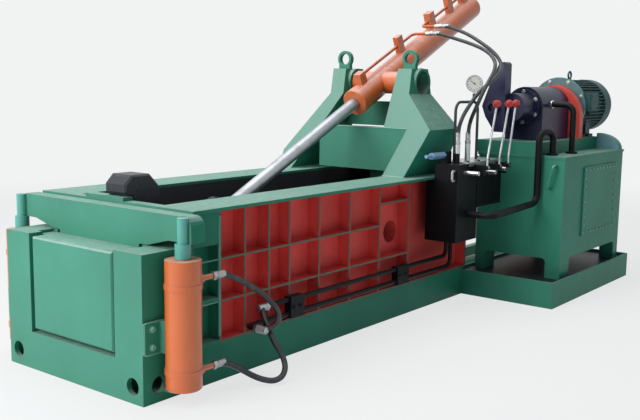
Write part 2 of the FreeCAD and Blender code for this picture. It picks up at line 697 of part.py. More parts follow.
def pedestal(outline, bearing):
    """Folded plate column, open at the rear, with a bearing for the trunnion and a lifting eye."""
    across = Part.Face(Part.makePolygon([V(PED_FOOT_FRONT, y, z) for y, z in outline + outline[:1]]))
    inside = across.makeOffset2D(-PED_WALL, 2)
    y = (0, BODY_HALF + RAIL_OVERHANG)
    columns = []
    for face, wall, rear in ((across, 0, PED_REAR), (inside, PED_WALL, PED_REAR + 1)):
        front = [(PED_FOOT_FRONT + wall, RAIL_TOP), (PED_TOP_FRONT + wall, PED_TOP)]
        profile = side_prism(front + [(rear, PED_TOP), (rear, RAIL_TOP)], y)
        columns.append(face.extrude(V(rear - PED_FOOT_FRONT, 0, 0)).common(profile))
    boss_start = V(TRUNNION_X, bearing[0], TRUNNION_Z)
    boss_end = V(TRUNNION_X, bearing[1], TRUNNION_Z)
    boss = bar(boss_start, boss_end, TRUNNION_BUSH_R + BOSS_WALL)
    eye_x = (EYE_X - EYE_T / 2, EYE_X + EYE_T / 2)
    eye_z = PED_TOP + EYE_R - EYE_SINK
    eye_start = V(eye_x[0], EYE_Y, eye_z)
    eye_end = V(eye_x[1], EYE_Y, eye_z)
    neck = block(eye_x, (EYE_Y - EYE_NECK_HALF, EYE_Y + EYE_NECK_HALF), (PED_TOP, eye_z))
    eye = fused([bar(eye_start, eye_end, EYE_R), neck]).cut(bar(eye_start, eye_end, EYE_HOLE_R))
    bore = bar(V(TRUNNION_X, 0, TRUNNION_Z), V(TRUNNION_X, BODY_HALF, TRUNNION_Z), TRUNNION_BUSH_R)
    return fused([columns[0].cut(columns[1]), boss, eye]).cut(bore)


def trunnion_bushes():
    """Pair of bushes in the pedestals' bearings."""
    bushes = []
    for side, bearing in ((-1, NEAR_BEARING), (1, FAR_BEARING)):
        start = V(TRUNNION_X, side * bearing[0], TRUNNION_Z)
        end = V(TRUNNION_X, side * (bearing[1] - TRUNNION_RECESS), TRUNNION_Z)
        bushes.append(bar(start, end, TRUNNION_BUSH_R).cut(bar(start, end, TRUNNION_R + RUN_FIT)))
    return Part.makeCompound(bushes)


def between(value, low, high):
    """Y on the straight line through two (y, z) corners, at a height."""
    share = (value - low[1]) / (high[1] - low[1])
    return low[0] + share * (high[0] - low[0])


def near_leg_at(z):
    """Y of the near leg's inner face at a height below the knee."""
    return -between(z, (PED_LEG_INNER[0], RAIL_TOP), (PED_LEG_INNER[1], PED_KNEE))


def far_leg_at(z):
    """Y of the far pedestal's inner face at a height below its shoulder."""
    return between(z, (FAR_FOOT[0], RAIL_TOP), (FAR_SHOULDER[0], FAR_SHOULDER_Z))


def cross_section(low):
    """(y, z) outline of the cross beam above a height, up to the near pedestal's knee."""
    share = (FAR_FOOT[0] - CROSS_FAR) / (FAR_FOOT[0] - FAR_SHOULDER[0])
    meets = RAIL_TOP + share * (FAR_SHOULDER_Z - RAIL_TOP)
    far_end = [(CROSS_FAR, low), (CROSS_FAR, meets), (far_leg_at(PED_KNEE), PED_KNEE)]
    return [(near_leg_at(low), low)] + far_end + [(near_leg_at(PED_KNEE), PED_KNEE)]


def cross_beam():
    """Plate between the pedestals' legs, with a shelf along its top."""
    plate = end_prism(cross_section(CROSS_LOW), (CROSS_FRONT, CROSS_FRONT + CROSS_T))
    shelf = end_prism(cross_section(PED_KNEE - CROSS_T), (CROSS_FRONT, CROSS_FRONT + CROSS_SHELF))
    return fused([plate, shelf])


def rear_tie_plate():
    """Plate that ties the pedestals' heads together behind and below the trunnion."""
    head_low = (PED_HEAD_INNER[0], PED_KNEE)
    head_high = (PED_HEAD_INNER[1], PED_TOP)
    near_end = [(-between(z, head_low, head_high), z) for z in (TIE_TOP, PED_KNEE)]
    far_end = [(far_leg_at(z), z) for z in (PED_KNEE, TIE_TOP)]
    return end_prism(near_end + far_end, (TIE_FRONT, PED_REAR))


def rear_cradle():
    """Thick plate across the body's rear end, and two sills from it to the main cylinder's seat."""
    plate_x = (BODY_REAR, BODY_REAR + REAR_PLATE_T)
    plate = block(plate_x, (-REAR_PLATE_HALF, REAR_PLATE_HALF), (0, WALL_TOP))
    bore = bar(V(BODY_REAR - 1, 0, RAM_Z), V(plate_x[1] + 1, 0, RAM_Z), MAIN_R + SADDLE_GAP)
    seat_x = (SADDLE_X, SADDLE_X + SADDLE_LEN)
    seat = block(seat_x, (-SADDLE_WIDE, SADDLE_WIDE), (0, MAIN_FOOT_LOW))
    inner_y = (SADDLE_PLATE_T - SADDLE_WIDE, SADDLE_WIDE - SADDLE_PLATE_T)
    hollow = block((seat_x[0] - 1, seat_x[1] + 1), inner_y, (SADDLE_PLATE_T, MAIN_FOOT_LOW - SADDLE_PLATE_T))
    sills = [
        block(
            (plate_x[1], seat_x[0]),
            sorted((side * SADDLE_WIDE, side * (SADDLE_WIDE - SILL_W))),
            (0, SILL_H),
        )
        for side in (-1, 1)
    ]
    return fused([plate.cut(bore), seat.cut(hollow)] + sills)


# Gate -------------------------------------------------------------------------------------
def gate_slab():
    """Sliding gate: a thick slab with a tongue along each side."""
    face = block((GATE_FRONT, GATE_REAR), (-GATE_HALF, GATE_HALF), (GATE_LOW, GATE_TOP))
    front_edges = [edge for edge in face.Edges if edge.BoundBox.XMax < GATE_FRONT + 1]
    face = face.makeChamfer(GATE_CHAMFER, front_edges)
    tongues = block((TONGUE_FRONT, TONGUE_REAR), (-TONGUE_HALF, TONGUE_HALF), (GATE_LOW, GATE_TOP))
    return fused([face, tongues])


def crosshead_beam():
    """Beam over the gate: rounded shoulders, a stepped underside and grooves for the rods."""
    foot_half = GATE_HALF - BEAM_LIP_GAP
    post_low = HOUSING_TOP + BEAM_SHOULDER_GAP
    shoulder = (BEAM_HALF - BEAM_CORNER_R, BEAM_TOP - BEAM_CORNER_R)
    half = [(foot_half, GATE_TOP), (foot_half, post_low), (BEAM_SLOPE_Y[0], post_low)]
    half += [(BEAM_SLOPE_Y[1], BEAM_END_LOW), (BEAM_HALF, BEAM_END_LOW)]
    half += arc_corners(shoulder, BEAM_CORNER_R, 0, 90, 5)
    beam = end_prism(symmetric(half), (BEAM_FRONT, GATE_REAR))
    grooves = []
    for side in (-1, 1):
        low = V(GATE_CYL_X, side * GATE_CYL_Y, BEAM_END_LOW - 1)
        grooves.append(bar(low, V(low.x, low.y, BEAM_TOP + 1), GATE_ROD_R + GROOVE_GAP))
    return carved(beam, grooves)


def gate_cylinder():
    """Far gate cylinder: barrel with a rounded foot, a flared gland, two bands and two ports."""
    centre = V(GATE_CYL_X, GATE_CYL_Y, 0)
    bore_r = GATE_CYL_R - GATE_CYL_WALL
    low = V(centre.x, centre.y, GATE_CYL_LOW)
    top = V(centre.x, centre.y, GATE_CYL_TOP)
    barrel = bar(low, top, GATE_CYL_R)
    foot_edge = [edge for edge in barrel.Edges if edge.BoundBox.ZMax < GATE_CYL_LOW + 1]
    barrel = barrel.makeFillet(GATE_CYL_WALL / 2, foot_edge)
    pieces = [barrel]
    for z in BAND_Z:
        band_low = V(centre.x, centre.y, z - BAND_H / 2)
        pieces.append(bar(band_low, V(centre.x, centre.y, z + BAND_H / 2), GATE_CYL_R + BAND_R))
    bore_low = low.add(V(0, 0, GATE_CYL_CAP))
    cuts = [bar(bore_low, top.sub(V(0, 0, GATE_GLAND)), bore_r)]
    cuts.append(bar(bore_low, top.add(V(0, 0, 1)), GATE_ROD_R + RUN_FIT))
    for z in GATE_PORT_Z:
        port = V(centre.x, centre.y, z)
        port_end = V(centre.x + GATE_CYL_R + GATE_PORT_LEN, centre.y, z)
        pieces.append(bar(port, port_end, GATE_PORT_R))
        pieces.append(bar(port_end, port_end.add(V(NIPPLE_LEN, 0, 0)), NIPPLE_R))
    return carved(fused(pieces), cuts)


def gate_rod():
    """Far gate rod: piston, rod and the shoulder that the beam sits on."""
    low = V(GATE_CYL_X, GATE_CYL_Y, GATE_CYL_LOW + GATE_CYL_CAP + 2)
    top = V(GATE_CYL_X, GATE_CYL_Y, BEAM_TOP - 2)
    under_beam = V(GATE_CYL_X, GATE_CYL_Y, BEAM_END_LOW)
    piston = bar(low, low.add(V(0, 0, GATE_PISTON_H)), GATE_CYL_R - GATE_CYL_WALL - PISTON_FIT)
    seat = bar(under_beam.sub(V(0, 0, GATE_ROD_SEAT_H)), under_beam, GATE_ROD_SEAT_R)
    return fused([bar(low, top, GATE_ROD_R), piston, seat])


# Lid ----------------------------------------------------------------------------------------
def lug():
    """Far lug of the lid's clevis: a plate that narrows to a round eye."""
    y = (LUG_INNER, LUG_OUTER)
    foot_z = LID_TOP - LID_PLATE_T
    foot = [(CLEVIS.x - LUG_FOOT, foot_z), (CLEVIS.x + LUG_FOOT, foot_z)]
    tips = arc_corners((CLEVIS.x, CLEVIS.z), CLEVIS_R, 20, 160, 10)
    return side_prism(foot + tips, y)


def lid():
    """Ribbed deck with its hinge tube and the clevis lugs for the cylinder's rod."""
    deck = block((LID_FRONT, HINGE_X), (-LID_HALF, LID_HALF), (LID_LOW, LID_TOP))
    hub_r = HINGE_Z - LID_LOW
    hub = bar(V(HINGE_X, -LID_HALF, HINGE_Z), V(HINGE_X, LID_HALF, HINGE_Z), hub_r)
    cells_rear = HINGE_X - hub_r
    pitch = (cells_rear - LID_FRONT) / LID_CELLS
    edges = (-LID_HALF, -LUG_OUTER - LID_RIB_T, LUG_OUTER + LID_RIB_T, LID_HALF)
    cells = []
    for column in range(LID_CELLS):
        x = (LID_FRONT + column * pitch + LID_RIB_T, LID_FRONT + (column + 1) * pitch)
        for left, right in (edges[0:2], edges[2:4]):
            y = (left + LID_RIB_T, right - LID_RIB_T)
            cells.append(block(x, y, (LID_LOW + LID_PLATE_T, LID_TOP + 1)))
    far_lug = lug()
    body = fused([carved(deck, cells), hub, far_lug, mirrored(far_lug)])
    bore = bar(V(HINGE_X, -BODY_HALF, HINGE_Z), V(HINGE_X, BODY_HALF, HINGE_Z), HINGE_SHAFT_R)
    eye = bar(V(CLEVIS.x, -BODY_HALF, CLEVIS.z), V(CLEVIS.x, BODY_HALF, CLEVIS.z), CLEVIS_PIN_R)
    return carved(body, [bore, eye])


def lid_nose():
    """Octagonal block on a column that stops the lid on the front strip."""
    overhang_low = PAD_TOP + NOSE_REST_GAP
    outline = [
        (NOSE_COLUMN, LID_TOP), (NOSE_COLUMN, overhang_low), (NOSE_FRONT + NOSE_BEVEL / 2, overhang_low),
        (NOSE_FRONT, overhang_low + NOSE_BEVEL / 2), (NOSE_FRONT, NOSE_TOP - NOSE_BEVEL),
        (NOSE_FRONT + NOSE_BEVEL, NOSE_TOP), (NOSE_BACK - NOSE_BACK_BEVEL, NOSE_TOP),
        (NOSE_BACK, NOSE_TOP - NOSE_BACK_BEVEL), (NOSE_BACK, LID_TOP),
    ]
    nose = side_prism(outline, (-NOSE_HALF, NOSE_HALF))
    rims = [
        edge for edge in nose.Edges
        if edge.BoundBox.YLength < 1 and edge.BoundBox.ZMin > overhang_low - 1
    ]
    return nose.makeChamfer(NOSE_EDGE, rims)


def hinge_shaft():
    """Shaft that turns with the lid, from wall to wall."""
    return bar(V(HINGE_X, -HINGE_SHAFT_END, HINGE_Z), V(HINGE_X, HINGE_SHAFT_END, HINGE_Z), HINGE_SHAFT_R)


def hinge_bushes():
    """Pair of bushes in the side walls that the hinge shaft turns in."""
    bushes = []
    for side in (-1, 1):
        start = V(HINGE_X, side * CHAMBER_HALF, HINGE_Z)
        end = V(HINGE_X, side * HINGE_SHAFT_END, HINGE_Z)
        bushes.append(bar(start, end, HINGE_BUSH_R).cut(bar(start, end, HINGE_SHAFT_R + RUN_FIT)))
    return Part.makeCompound(bushes)


def clevis_pin():
    """Pin through the lugs and the rod's eye, with a round head at each end."""
    end = LUG_OUTER + PIN_HEAD
    pin = bar(V(CLEVIS.x, -end, CLEVIS.z), V(CLEVIS.x, end, CLEVIS.z), CLEVIS_PIN_R)
    heads = [
        bar(V(CLEVIS.x, side * LUG_OUTER, CLEVIS.z), V(CLEVIS.x, side * end, CLEVIS.z), PIN_HEAD_R)
        for side in (-1, 1)
    ]
    return fused([pin] + heads)


# Lid cylinder ---------------------------------------------------------------------------------
def on_axis(shape):
    """Move a shape drawn along X with the trunnion at zero onto the cylinder's real axis."""
    turned = shape.copy()
    turned.rotate(V(0, 0, 0), V(0, 1, 0), -CYL_TILT)
    turned.translate(TRUNNION)
    return turned


def axis_bar(start, end, radius):
    """Round bar along the cylinder's own axis."""
    return bar(V(start, 0, 0), V(end, 0, 0), radius)


def port_block(place, top):
    """Port block on the barrel's top at a distance from the trunnion."""
    length, width = LID_PORT
    x = (place - length / 2, place + length / 2)
    return block(x, (LID_PORT_Y - width / 2, LID_PORT_Y + width / 2), (LID_CYL_R / 2, top))


def lid_cylinder():
    """Barrel closed at its rear, with its trunnion pins and collars, port blocks and pipe clamps."""
    end = LID_CYL_BACK + LID_CAP_LEN
    tube_body = axis_bar(LID_CYL_FRONT, end, LID_CYL_R)
    rear_rim = [edge for edge in tube_body.Edges if edge.BoundBox.XMin > end - 1]
    tube_body = tube_body.makeFillet(LID_CAP_ROUND, rear_rim)
    near, far = NEAR_BEARING, FAR_BEARING
    pin = bar(V(0, TRUNNION_RECESS - near[1], 0), V(0, far[1] - TRUNNION_RECESS, 0), TRUNNION_R)
    collar = bar(V(0, COLLAR_GAP - near[0], 0), V(0, far[0] - COLLAR_GAP, 0), TRUNNION_COLLAR_R)
    blocks = [port_block(place, height) for place, height in zip(LID_PORT_S, LID_PORT_TOP)]
    clamp_y = (LID_PORT_Y - 2 * LID_PIPE_R, LID_PORT_Y + 2 * LID_PIPE_R)
    clamps = [
        block((place, place + LID_CLAMP_LEN), clamp_y, (LID_CYL_R / 2, LID_CLAMP_TOP))
        for place in LID_CLAMP_S
    ]
    bore = axis_bar(LID_CYL_FRONT - 1, LID_CYL_BACK, LID_CYL_R - LID_CYL_WALL)
    holes = [clamp_hole(pipe) for pipe in pipe_routes()]
    body = fused([tube_body, pin, collar] + blocks + clamps)
    return on_axis(carved(body, [bore] + holes))


def pipe_height():
    """Height of the thin pipes' axis over the cylinder's axis."""
    return LID_CYL_R + LID_PIPE_RISE


def tap_side():
    """Y of the taps' outer ends."""
    return LID_PORT_Y - LID_PORT[1] / 2 - TAP_REACH


def axis_point(place):
    """Outer end of a tap, in the machine's frame."""
    return TRUNNION.add(CYL_AXIS * place).add(CYL_UP * pipe_height()).add(V(0, tap_side(), 0))


def pipe_routes():
    """Routes of the thin pipes along the barrel, in the cylinder's own frame."""
    z = pipe_height()
    front, middle, back = LID_PORT_S
    half = LID_PORT[0] / 2
    runs = [
        [front + half, LID_TAP_S[0]],
        [middle - half, LID_TAP_S[1]],
    ]
    taps = [[V(a, LID_PORT_Y, z), V(b, LID_PORT_Y, z), V(b, tap_side(), z)] for a, b in runs]
    return taps + [[V(middle + half, LID_PORT_Y, z), V(back - half, LID_PORT_Y, z)]]


def clamp_hole(points):
    """Clearance for a pipe through the clamps."""
    return bar(points[0], points[1], LID_PIPE_R + SADDLE_GAP / 2)


def lid_pipes():
    """Thin pipes from port to port along the barrel, each tap with a hose sleeve."""
    front, middle, rear = pipe_routes()
    shapes = [bar(rear[0], rear[1], LID_PIPE_R)]
    for points in (front, middle):
        sleeve = bar(points[2].add(V(0, TAP_SLEEVE_LEN, 0)), points[2], TAP_SLEEVE_R)
        shapes.append(fused([tube(points, LID_PIPE_R, LID_PIPE_BEND), sleeve]))
    return on_axis(Part.makeCompound(shapes))


def lid_gland():
    """Gland at the front of the barrel: a spigot in the bore and a lip round the tube's end."""
    face = LID_CYL_FRONT - LID_GLAND_LEN
    body = axis_bar(face, LID_CYL_FRONT, LID_CYL_R + LID_GLAND_LIP)
    front_edge = [edge for edge in body.Edges if edge.BoundBox.XMax < face + 1]
    body = body.makeChamfer(2 * LID_GLAND_LIP, front_edge)
    spigot = axis_bar(LID_CYL_FRONT, LID_CYL_FRONT + LID_GLAND_SPIGOT, LID_CYL_R - LID_CYL_WALL - RUN_FIT)
    bore = axis_bar(face - 1, LID_CYL_FRONT + LID_GLAND_SPIGOT + 1, LID_ROD_R + RUN_FIT)
    return on_axis(fused([body, spigot]).cut(bore))


def lid_rod():
    """Rod with its piston in the barrel and its eye on the clevis pin."""
    eye_x = -PIN_DISTANCE
    rod = axis_bar(eye_x, LID_PISTON_AT, LID_ROD_R)
    piston_r = LID_CYL_R - LID_CYL_WALL - PISTON_FIT
    piston = axis_bar(LID_PISTON_AT - LID_PISTON_LEN + 20, LID_PISTON_AT, piston_r)
    eye = bar(V(eye_x, -LID_EYE_HALF, 0), V(eye_x, LID_EYE_HALF, 0), CLEVIS_R - 6)
    bore = bar(V(eye_x, -BODY_HALF, 0), V(eye_x, BODY_HALF, 0), CLEVIS_PIN_R + RUN_FIT)
    return on_axis(fused([rod, piston, eye]).cut(bore))


# Press head and main cylinder -------------------------------------------------------------------
def press_head():
    """Pushing head: a thick face with walls behind it and a boss for the ram."""
    half = CHAMBER_HALF - HEAD_GAP
    x = (HEAD_FACE, HEAD_FACE + HEAD_LEN)
    z = (BED_TOP + HEAD_GAP, HEAD_TOP)
    body = block(x, (-half, half), z)
    inner_y = (HEAD_WALL_T - half, half - HEAD_WALL_T)
    hollow = block((x[0] + HEAD_PLATE_T, x[1] + 1), inner_y, (z[0] + HEAD_WALL_T, z[1] - HEAD_WALL_T))
    socket_end = V(x[1] - HEAD_PLATE_T, 0, RAM_Z)
    socket = bar(V(x[0] + HEAD_PLATE_T, 0, RAM_Z), socket_end, RAM_R + HEAD_WALL_T - HEAD_GAP)
    bore = bar(V(x[0] + HEAD_PLATE_T, 0, RAM_Z), V(x[1] + 1, 0, RAM_Z), RAM_R)
    return fused([body.cut(hollow), socket.common(body)]).cut(bore)


def ram():
    """Ram rod from the press head to its piston in the main cylinder."""
    start = HEAD_FACE + HEAD_PLATE_T
    end = MAIN_REAR - MAIN_CAP - MAIN_PISTON_GAP
    rod = bar(V(start, 0, RAM_Z), V(end, 0, RAM_Z), RAM_R)
    piston = bar(V(end - MAIN_PISTON_LEN, 0, RAM_Z), V(end, 0, RAM_Z), MAIN_R - MAIN_WALL - PISTON_FIT)
    return fused([rod, piston])


def main_cylinder():
    """Main barrel with its gland, the flange on the rear plate, a foot and a closed rear end."""
    barrel = bar(V(BODY_REAR, 0, RAM_Z), V(MAIN_REAR, 0, RAM_Z), MAIN_R)
    flange_x = BODY_REAR + REAR_PLATE_T
    flange = bar(V(flange_x, 0, RAM_Z), V(flange_x + MAIN_FLANGE_T, 0, RAM_Z), MAIN_FLANGE_R)
    foot_x = (SADDLE_X, SADDLE_X + SADDLE_LEN)
    foot = block(foot_x, (-MAIN_FOOT_HALF, MAIN_FOOT_HALF), (MAIN_FOOT_LOW, RAM_Z))
    bore = bar(V(BODY_REAR + MAIN_GLAND, 0, RAM_Z), V(MAIN_REAR - MAIN_CAP, 0, RAM_Z), MAIN_R - MAIN_WALL)
    gland = bar(V(BODY_REAR - 1, 0, RAM_Z), V(MAIN_REAR - MAIN_CAP, 0, RAM_Z), RAM_R + RUN_FIT)
    return carved(fused([barrel, flange, foot]), [bore, gland])


# Plinth, tank and motor set -----------------------------------------------------------------------
def plinth():
    """Drip tray that the oil tank stands in: upstanding rim, hollow below."""
    body = block(PLINTH_X, PLINTH_Y, (0, PLINTH_H))
    inner_x = (PLINTH_X[0] + PLINTH_T, PLINTH_X[1] - PLINTH_T)
    inner_y = (PLINTH_Y[0] + PLINTH_T, PLINTH_Y[1] - PLINTH_T)
    hollow = block(inner_x, inner_y, (0, PLINTH_H - TRAY_DEPTH - PLINTH_T))
    tray = block(inner_x, inner_y, (PLINTH_H - TRAY_DEPTH, PLINTH_H + 1))
    return carved(body, [hollow, tray])


def arch_tool(width, reach):
    """Tunnel of an arch along Y, from its left foot at zero, with rounded upper corners."""
    low = PLINTH_H - TRAY_DEPTH - 1
    tunnel = block((0, width), (0, reach), (low, ARCH_TOP))
    corners = [
        edge for edge in tunnel.Edges
        if edge.BoundBox.ZMin > ARCH_TOP - 1 and edge.BoundBox.YLength > reach / 2
    ]
    return tunnel.makeFillet(ARCH_R, corners)


def oil_tank():
    """Tank on four corner feet, with a closed oil space and a lid plate."""
    foot_low = PLINTH_H - TRAY_DEPTH
    body = block(TANK_X, TANK_Y, (foot_low, TANK_TOP - TANK_LID_T))
    over = TANK_LID_OVERHANG
    top = block(
        (TANK_X[0] - over, TANK_X[1] + over),
        (TANK_Y[0] - over, TANK_Y[1] + over),
        (TANK_TOP - TANK_LID_T, TANK_TOP),
    )
    long_width = TANK_X[1] - TANK_X[0] - sum(ARCH_SIDE)
    long_arch = arch_tool(long_width, TANK_Y[1] - TANK_Y[0] + 2)
    long_arch.translate(V(TANK_X[0] + ARCH_SIDE[0], TANK_Y[0] - 1, 0))
    short_width = TANK_Y[1] - TANK_Y[0] - sum(ARCH_END)
    short_arch = arch_tool(short_width, TANK_X[1] - TANK_X[0] + 2)
    short_arch.rotate(V(0, 0, 0), V(0, 0, 1), 90)
    short_arch.translate(V(TANK_X[1] + 1, TANK_Y[0] + ARCH_END[0], 0))
    inner_x = (TANK_X[0] + TANK_T, TANK_X[1] - TANK_T)
    inner_y = (TANK_Y[0] + TANK_T, TANK_Y[1] - TANK_T)
    oil_space = block(inner_x, inner_y, (ARCH_TOP + TANK_T, TANK_TOP - TANK_LID_T))
    handle_x = TANK_X[0] - HANDLE_REACH
    corners = [
        V(TANK_X[0], HANDLE_Y[0], HANDLE_Z[0]), V(handle_x, HANDLE_Y[0], HANDLE_Z[0]),
        V(handle_x, HANDLE_Y[1], HANDLE_Z[1]), V(TANK_X[0], HANDLE_Y[1], HANDLE_Z[1]),
    ]
    handle = tube(corners, HANDLE_R, 2 * HANDLE_R)
    return fused([carved(body, [long_arch, short_arch, oil_space]), top, handle])


def tank_cover():
    """Inspection cover on the tank's front."""
    return block(COVER_X, (TANK_Y[0] - COVER_T, TANK_Y[0]), COVER_Z)


def filter_hood():
    """Rounded hood over the return filter, on the tank's lid plate beside the motor."""
    quarter = arc_corners((0, 0), 1, 90, 180, 8)
    crown = [(SET_BASE_Y[0] + HOOD_HALF * a, TANK_TOP + HOOD_H * b) for a, b in quarter]
    return end_prism([(SET_BASE_Y[0], TANK_TOP)] + crown, HOOD_X)


def motor_base():
    """Frame of folded channel that carries the motor and the pump over the tank."""
    body = block(SET_BASE_X, SET_BASE_Y, (TANK_TOP, SET_BASE_TOP))
    t = SET_BASE_T
    inner = block(
        (SET_BASE_X[0] + t, SET_BASE_X[1] - t),
        (SET_BASE_Y[0] + t, SET_BASE_Y[1] - t),
        (TANK_TOP, SET_BASE_TOP - t),
    )
    return body.cut(inner)


def arch_outline(half, low, centre_z, steps):
    """(y, z) outline of an arch: straight sides up to a half round."""
    crown = arc_corners((SET_Y, centre_z), half, 0, 180, steps)
    return [(SET_Y + half, low)] + crown + [(SET_Y - half, low)]


def motor_body():
    """Finned motor housing with its flange, end shield, feet, terminal box and lifting ring."""
    flange_end = MOTOR_FLANGE_X + MOTOR_FLANGE_T
    rear = MOTOR_FLANGE_X + MOTOR_LEN
    corners = []
    pitch = 2 * math.pi / MOTOR_FINS
    half_fin = MOTOR_FIN_T / 2 / MOTOR_FIN_R
    for fin in range(MOTOR_FINS):
        middle = fin * pitch
        for radius, turn in (
            (MOTOR_R, middle - half_fin), (MOTOR_FIN_R, middle - half_fin),
            (MOTOR_FIN_R, middle + half_fin), (MOTOR_R, middle + half_fin),
        ):
            corners.append((SET_Y + radius * math.cos(turn), SET_Z + radius * math.sin(turn)))
    finned = end_prism(corners, (flange_end, rear))
    flange = set_bar(MOTOR_FLANGE_X, flange_end, MOTOR_FLANGE_R)
    shield = set_bar(rear - MOTOR_FLANGE_T, rear, FAN_COVER_R)
    pieces = [finned, flange, shield]
    for place in MOTOR_FOOT:
        foot_x = (flange_end + place - MOTOR_FOOT_LEN / 2, flange_end + place + MOTOR_FOOT_LEN / 2)
        pad_y = (SET_Y - MOTOR_FOOT_HALF, SET_Y + MOTOR_FOOT_HALF)
        pieces.append(block(foot_x, pad_y, (SET_BASE_TOP, SET_BASE_TOP + MOTOR_FOOT_T)))
        web_half = MOTOR_FOOT_HALF - MOTOR_FOOT_STEP
        web_y = (SET_Y - web_half, SET_Y + web_half)
        pieces.append(block(foot_x, web_y, (SET_BASE_TOP, SET_Z - MOTOR_R / 2)))
    length, depth, height = BOX_SIZE
    box_x = (BOX_X - length / 2, BOX_X + length / 2)
    box_y = (SET_Y - MOTOR_FIN_R - depth / 2, SET_Y - MOTOR_R + depth / 4)
    box_z = SET_Z + BOX_RISE
    pieces.append(block(box_x, box_y, (box_z - height / 2, box_z + height / 2)))
    stem_top = SET_Z + MOTOR_FIN_R + RING_WIRE_R
    pieces.append(Part.makeTorus(RING_R, RING_WIRE_R, V(RING_X, SET_Y, stem_top + RING_R), V(0, 1, 0)))
    pieces.append(bar(V(RING_X, SET_Y, SET_Z + MOTOR_R / 2), V(RING_X, SET_Y, stem_top), RING_STEM_R))
    shaft_bore = set_bar(MOTOR_FLANGE_X - 1, rear + 1, MOTOR_SHAFT_R + RUN_FIT)
    return fused(pieces).cut(shaft_bore)


def set_bar(start, end, radius):
    """Round bar on the common axis of the motor and the pump."""
    return bar(V(start, SET_Y, SET_Z), V(end, SET_Y, SET_Z), radius)


def motor_fan_cover():
    """Cover over the fan: a drawn cup with a ring of slots in its rear face."""
    start = MOTOR_FLANGE_X + MOTOR_LEN
    end = start + FAN_COVER_LEN
    cup = set_bar(start, end, FAN_COVER_R)
    rim = [edge for edge in cup.Edges if edge.BoundBox.XMin > end - 1]
    cup = cup.makeFillet(FAN_COVER_ROUND, rim)
    inner = set_bar(start - 1, end - FAN_COVER_T, FAN_COVER_R - FAN_COVER_T)
    inner_rim = [edge for edge in inner.Edges if edge.BoundBox.XMin > end - FAN_COVER_T - 1]
    cup = cup.cut(inner.makeFillet(FAN_COVER_ROUND - FAN_COVER_T, inner_rim))
    slots = []
    slot_y = (-FAN_SLOT_W / 2, FAN_SLOT_W / 2)
    slot_z = (FAN_SLOT_INNER, FAN_COVER_R - 2 * FAN_COVER_ROUND)
    for step in range(FAN_SLOTS):
        slot = block((end - FAN_COVER_T - 1, end + 1), slot_y, slot_z)
        slot.translate(V(0, SET_Y, SET_Z))
        slot.rotate(V(0, SET_Y, SET_Z), V(1, 0, 0), step * 360 / FAN_SLOTS)
        slots.append(slot)
    return carved(cup, slots)


def drive_shaft():
    """Motor shaft, from the coupling to the fan."""
    start = GUARD_X + COUPLING_START + COUPLING_LEN + COUPLING_GAP
    return set_bar(start, MOTOR_FLANGE_X + MOTOR_LEN + FAN_COVER_LEN / 2, MOTOR_SHAFT_R)


def motor_fan():
    """Fan on the rear end of the motor shaft: hub and flat blades."""
    start = MOTOR_FLANGE_X + MOTOR_LEN + FAN_START
    end = MOTOR_FLANGE_X + MOTOR_LEN + FAN_COVER_LEN / 2
    hub = set_bar(start, end, MOTOR_SHAFT_R + FAN_HUB_WALL)
    blades = []
    for step in range(FAN_BLADES):
        root = MOTOR_SHAFT_R + FAN_HUB_WALL / 2
        blade = block((start, end), (-FAN_BLADE_T / 2, FAN_BLADE_T / 2), (root, FAN_R))
        blade.translate(V(0, SET_Y, SET_Z))
        blade.rotate(V(0, SET_Y, SET_Z), V(1, 0, 0), step * 360 / FAN_BLADES)
        blades.append(blade)
    return fused([hub] + blades).cut(set_bar(start - 1, end + 1, MOTOR_SHAFT_R))


def arch_bracket():
    """Arched carrier of the motor's flange, with a spacer tube behind it."""
    crown_z = SET_Z - (ARCH_BRACKET_HALF - GUARD_HALF) + 10
    outline = arch_outline(ARCH_BRACKET_HALF, SET_BASE_TOP, crown_z, 24)
    plate = end_prism(outline, ARCH_BRACKET_X)
    spacer = set_bar(ARCH_BRACKET_X[1], MOTOR_FLANGE_X, SPACER_R)
    bore = set_bar(ARCH_BRACKET_X[0] - 1, MOTOR_FLANGE_X + 1, ARCH_BRACKET_BORE)
    return fused([plate, spacer]).cut(bore)


def coupling_guard():
    """Arched guard over the coupling, closed at its front by the pump's mounting plate."""
    outer = end_prism(arch_outline(GUARD_HALF, SET_BASE_TOP, SET_Z, 20), (GUARD_X, ARCH_BRACKET_X[0]))
    inner_x = (GUARD_X + PUMP_FLANGE_T, ARCH_BRACKET_X[0] + 1)
    inner = end_prism(arch_outline(GUARD_HALF - GUARD_T, SET_BASE_TOP - 1, SET_Z, 20), inner_x)
    bore = set_bar(GUARD_X - 1, inner_x[0] + 1, COUPLING_R / 2)
    port_end = V(GUARD_PORT_X, GUARD_PORT_END, GUARD_PORT_Z)
    port = bar(V(GUARD_PORT_X, SET_Y - GUARD_HALF / 2, GUARD_PORT_Z), port_end, GUARD_PORT_R)
    return carved(fused([outer, port]), [inner, bore])


def drive_coupling():
    """Coupling with its flexible ring, on the pump's shaft and over the motor's."""
    start = GUARD_X + COUPLING_START
    middle = start + COUPLING_LEN
    end = middle + COUPLING_GAP + COUPLING_LEN
    halves = [
        set_bar(start, middle, COUPLING_R),
        set_bar(middle, middle + COUPLING_GAP, COUPLING_R - COUPLING_STEP),
    ]
    halves.append(set_bar(middle + COUPLING_GAP, end, COUPLING_R))
    halves.append(set_bar(PUMP_HEAD_X[1] + PUMP_SHAFT_IN, middle, PUMP_SHAFT_R))
    return fused(halves).cut(set_bar(middle + COUPLING_GAP, end + 1, MOTOR_SHAFT_R))


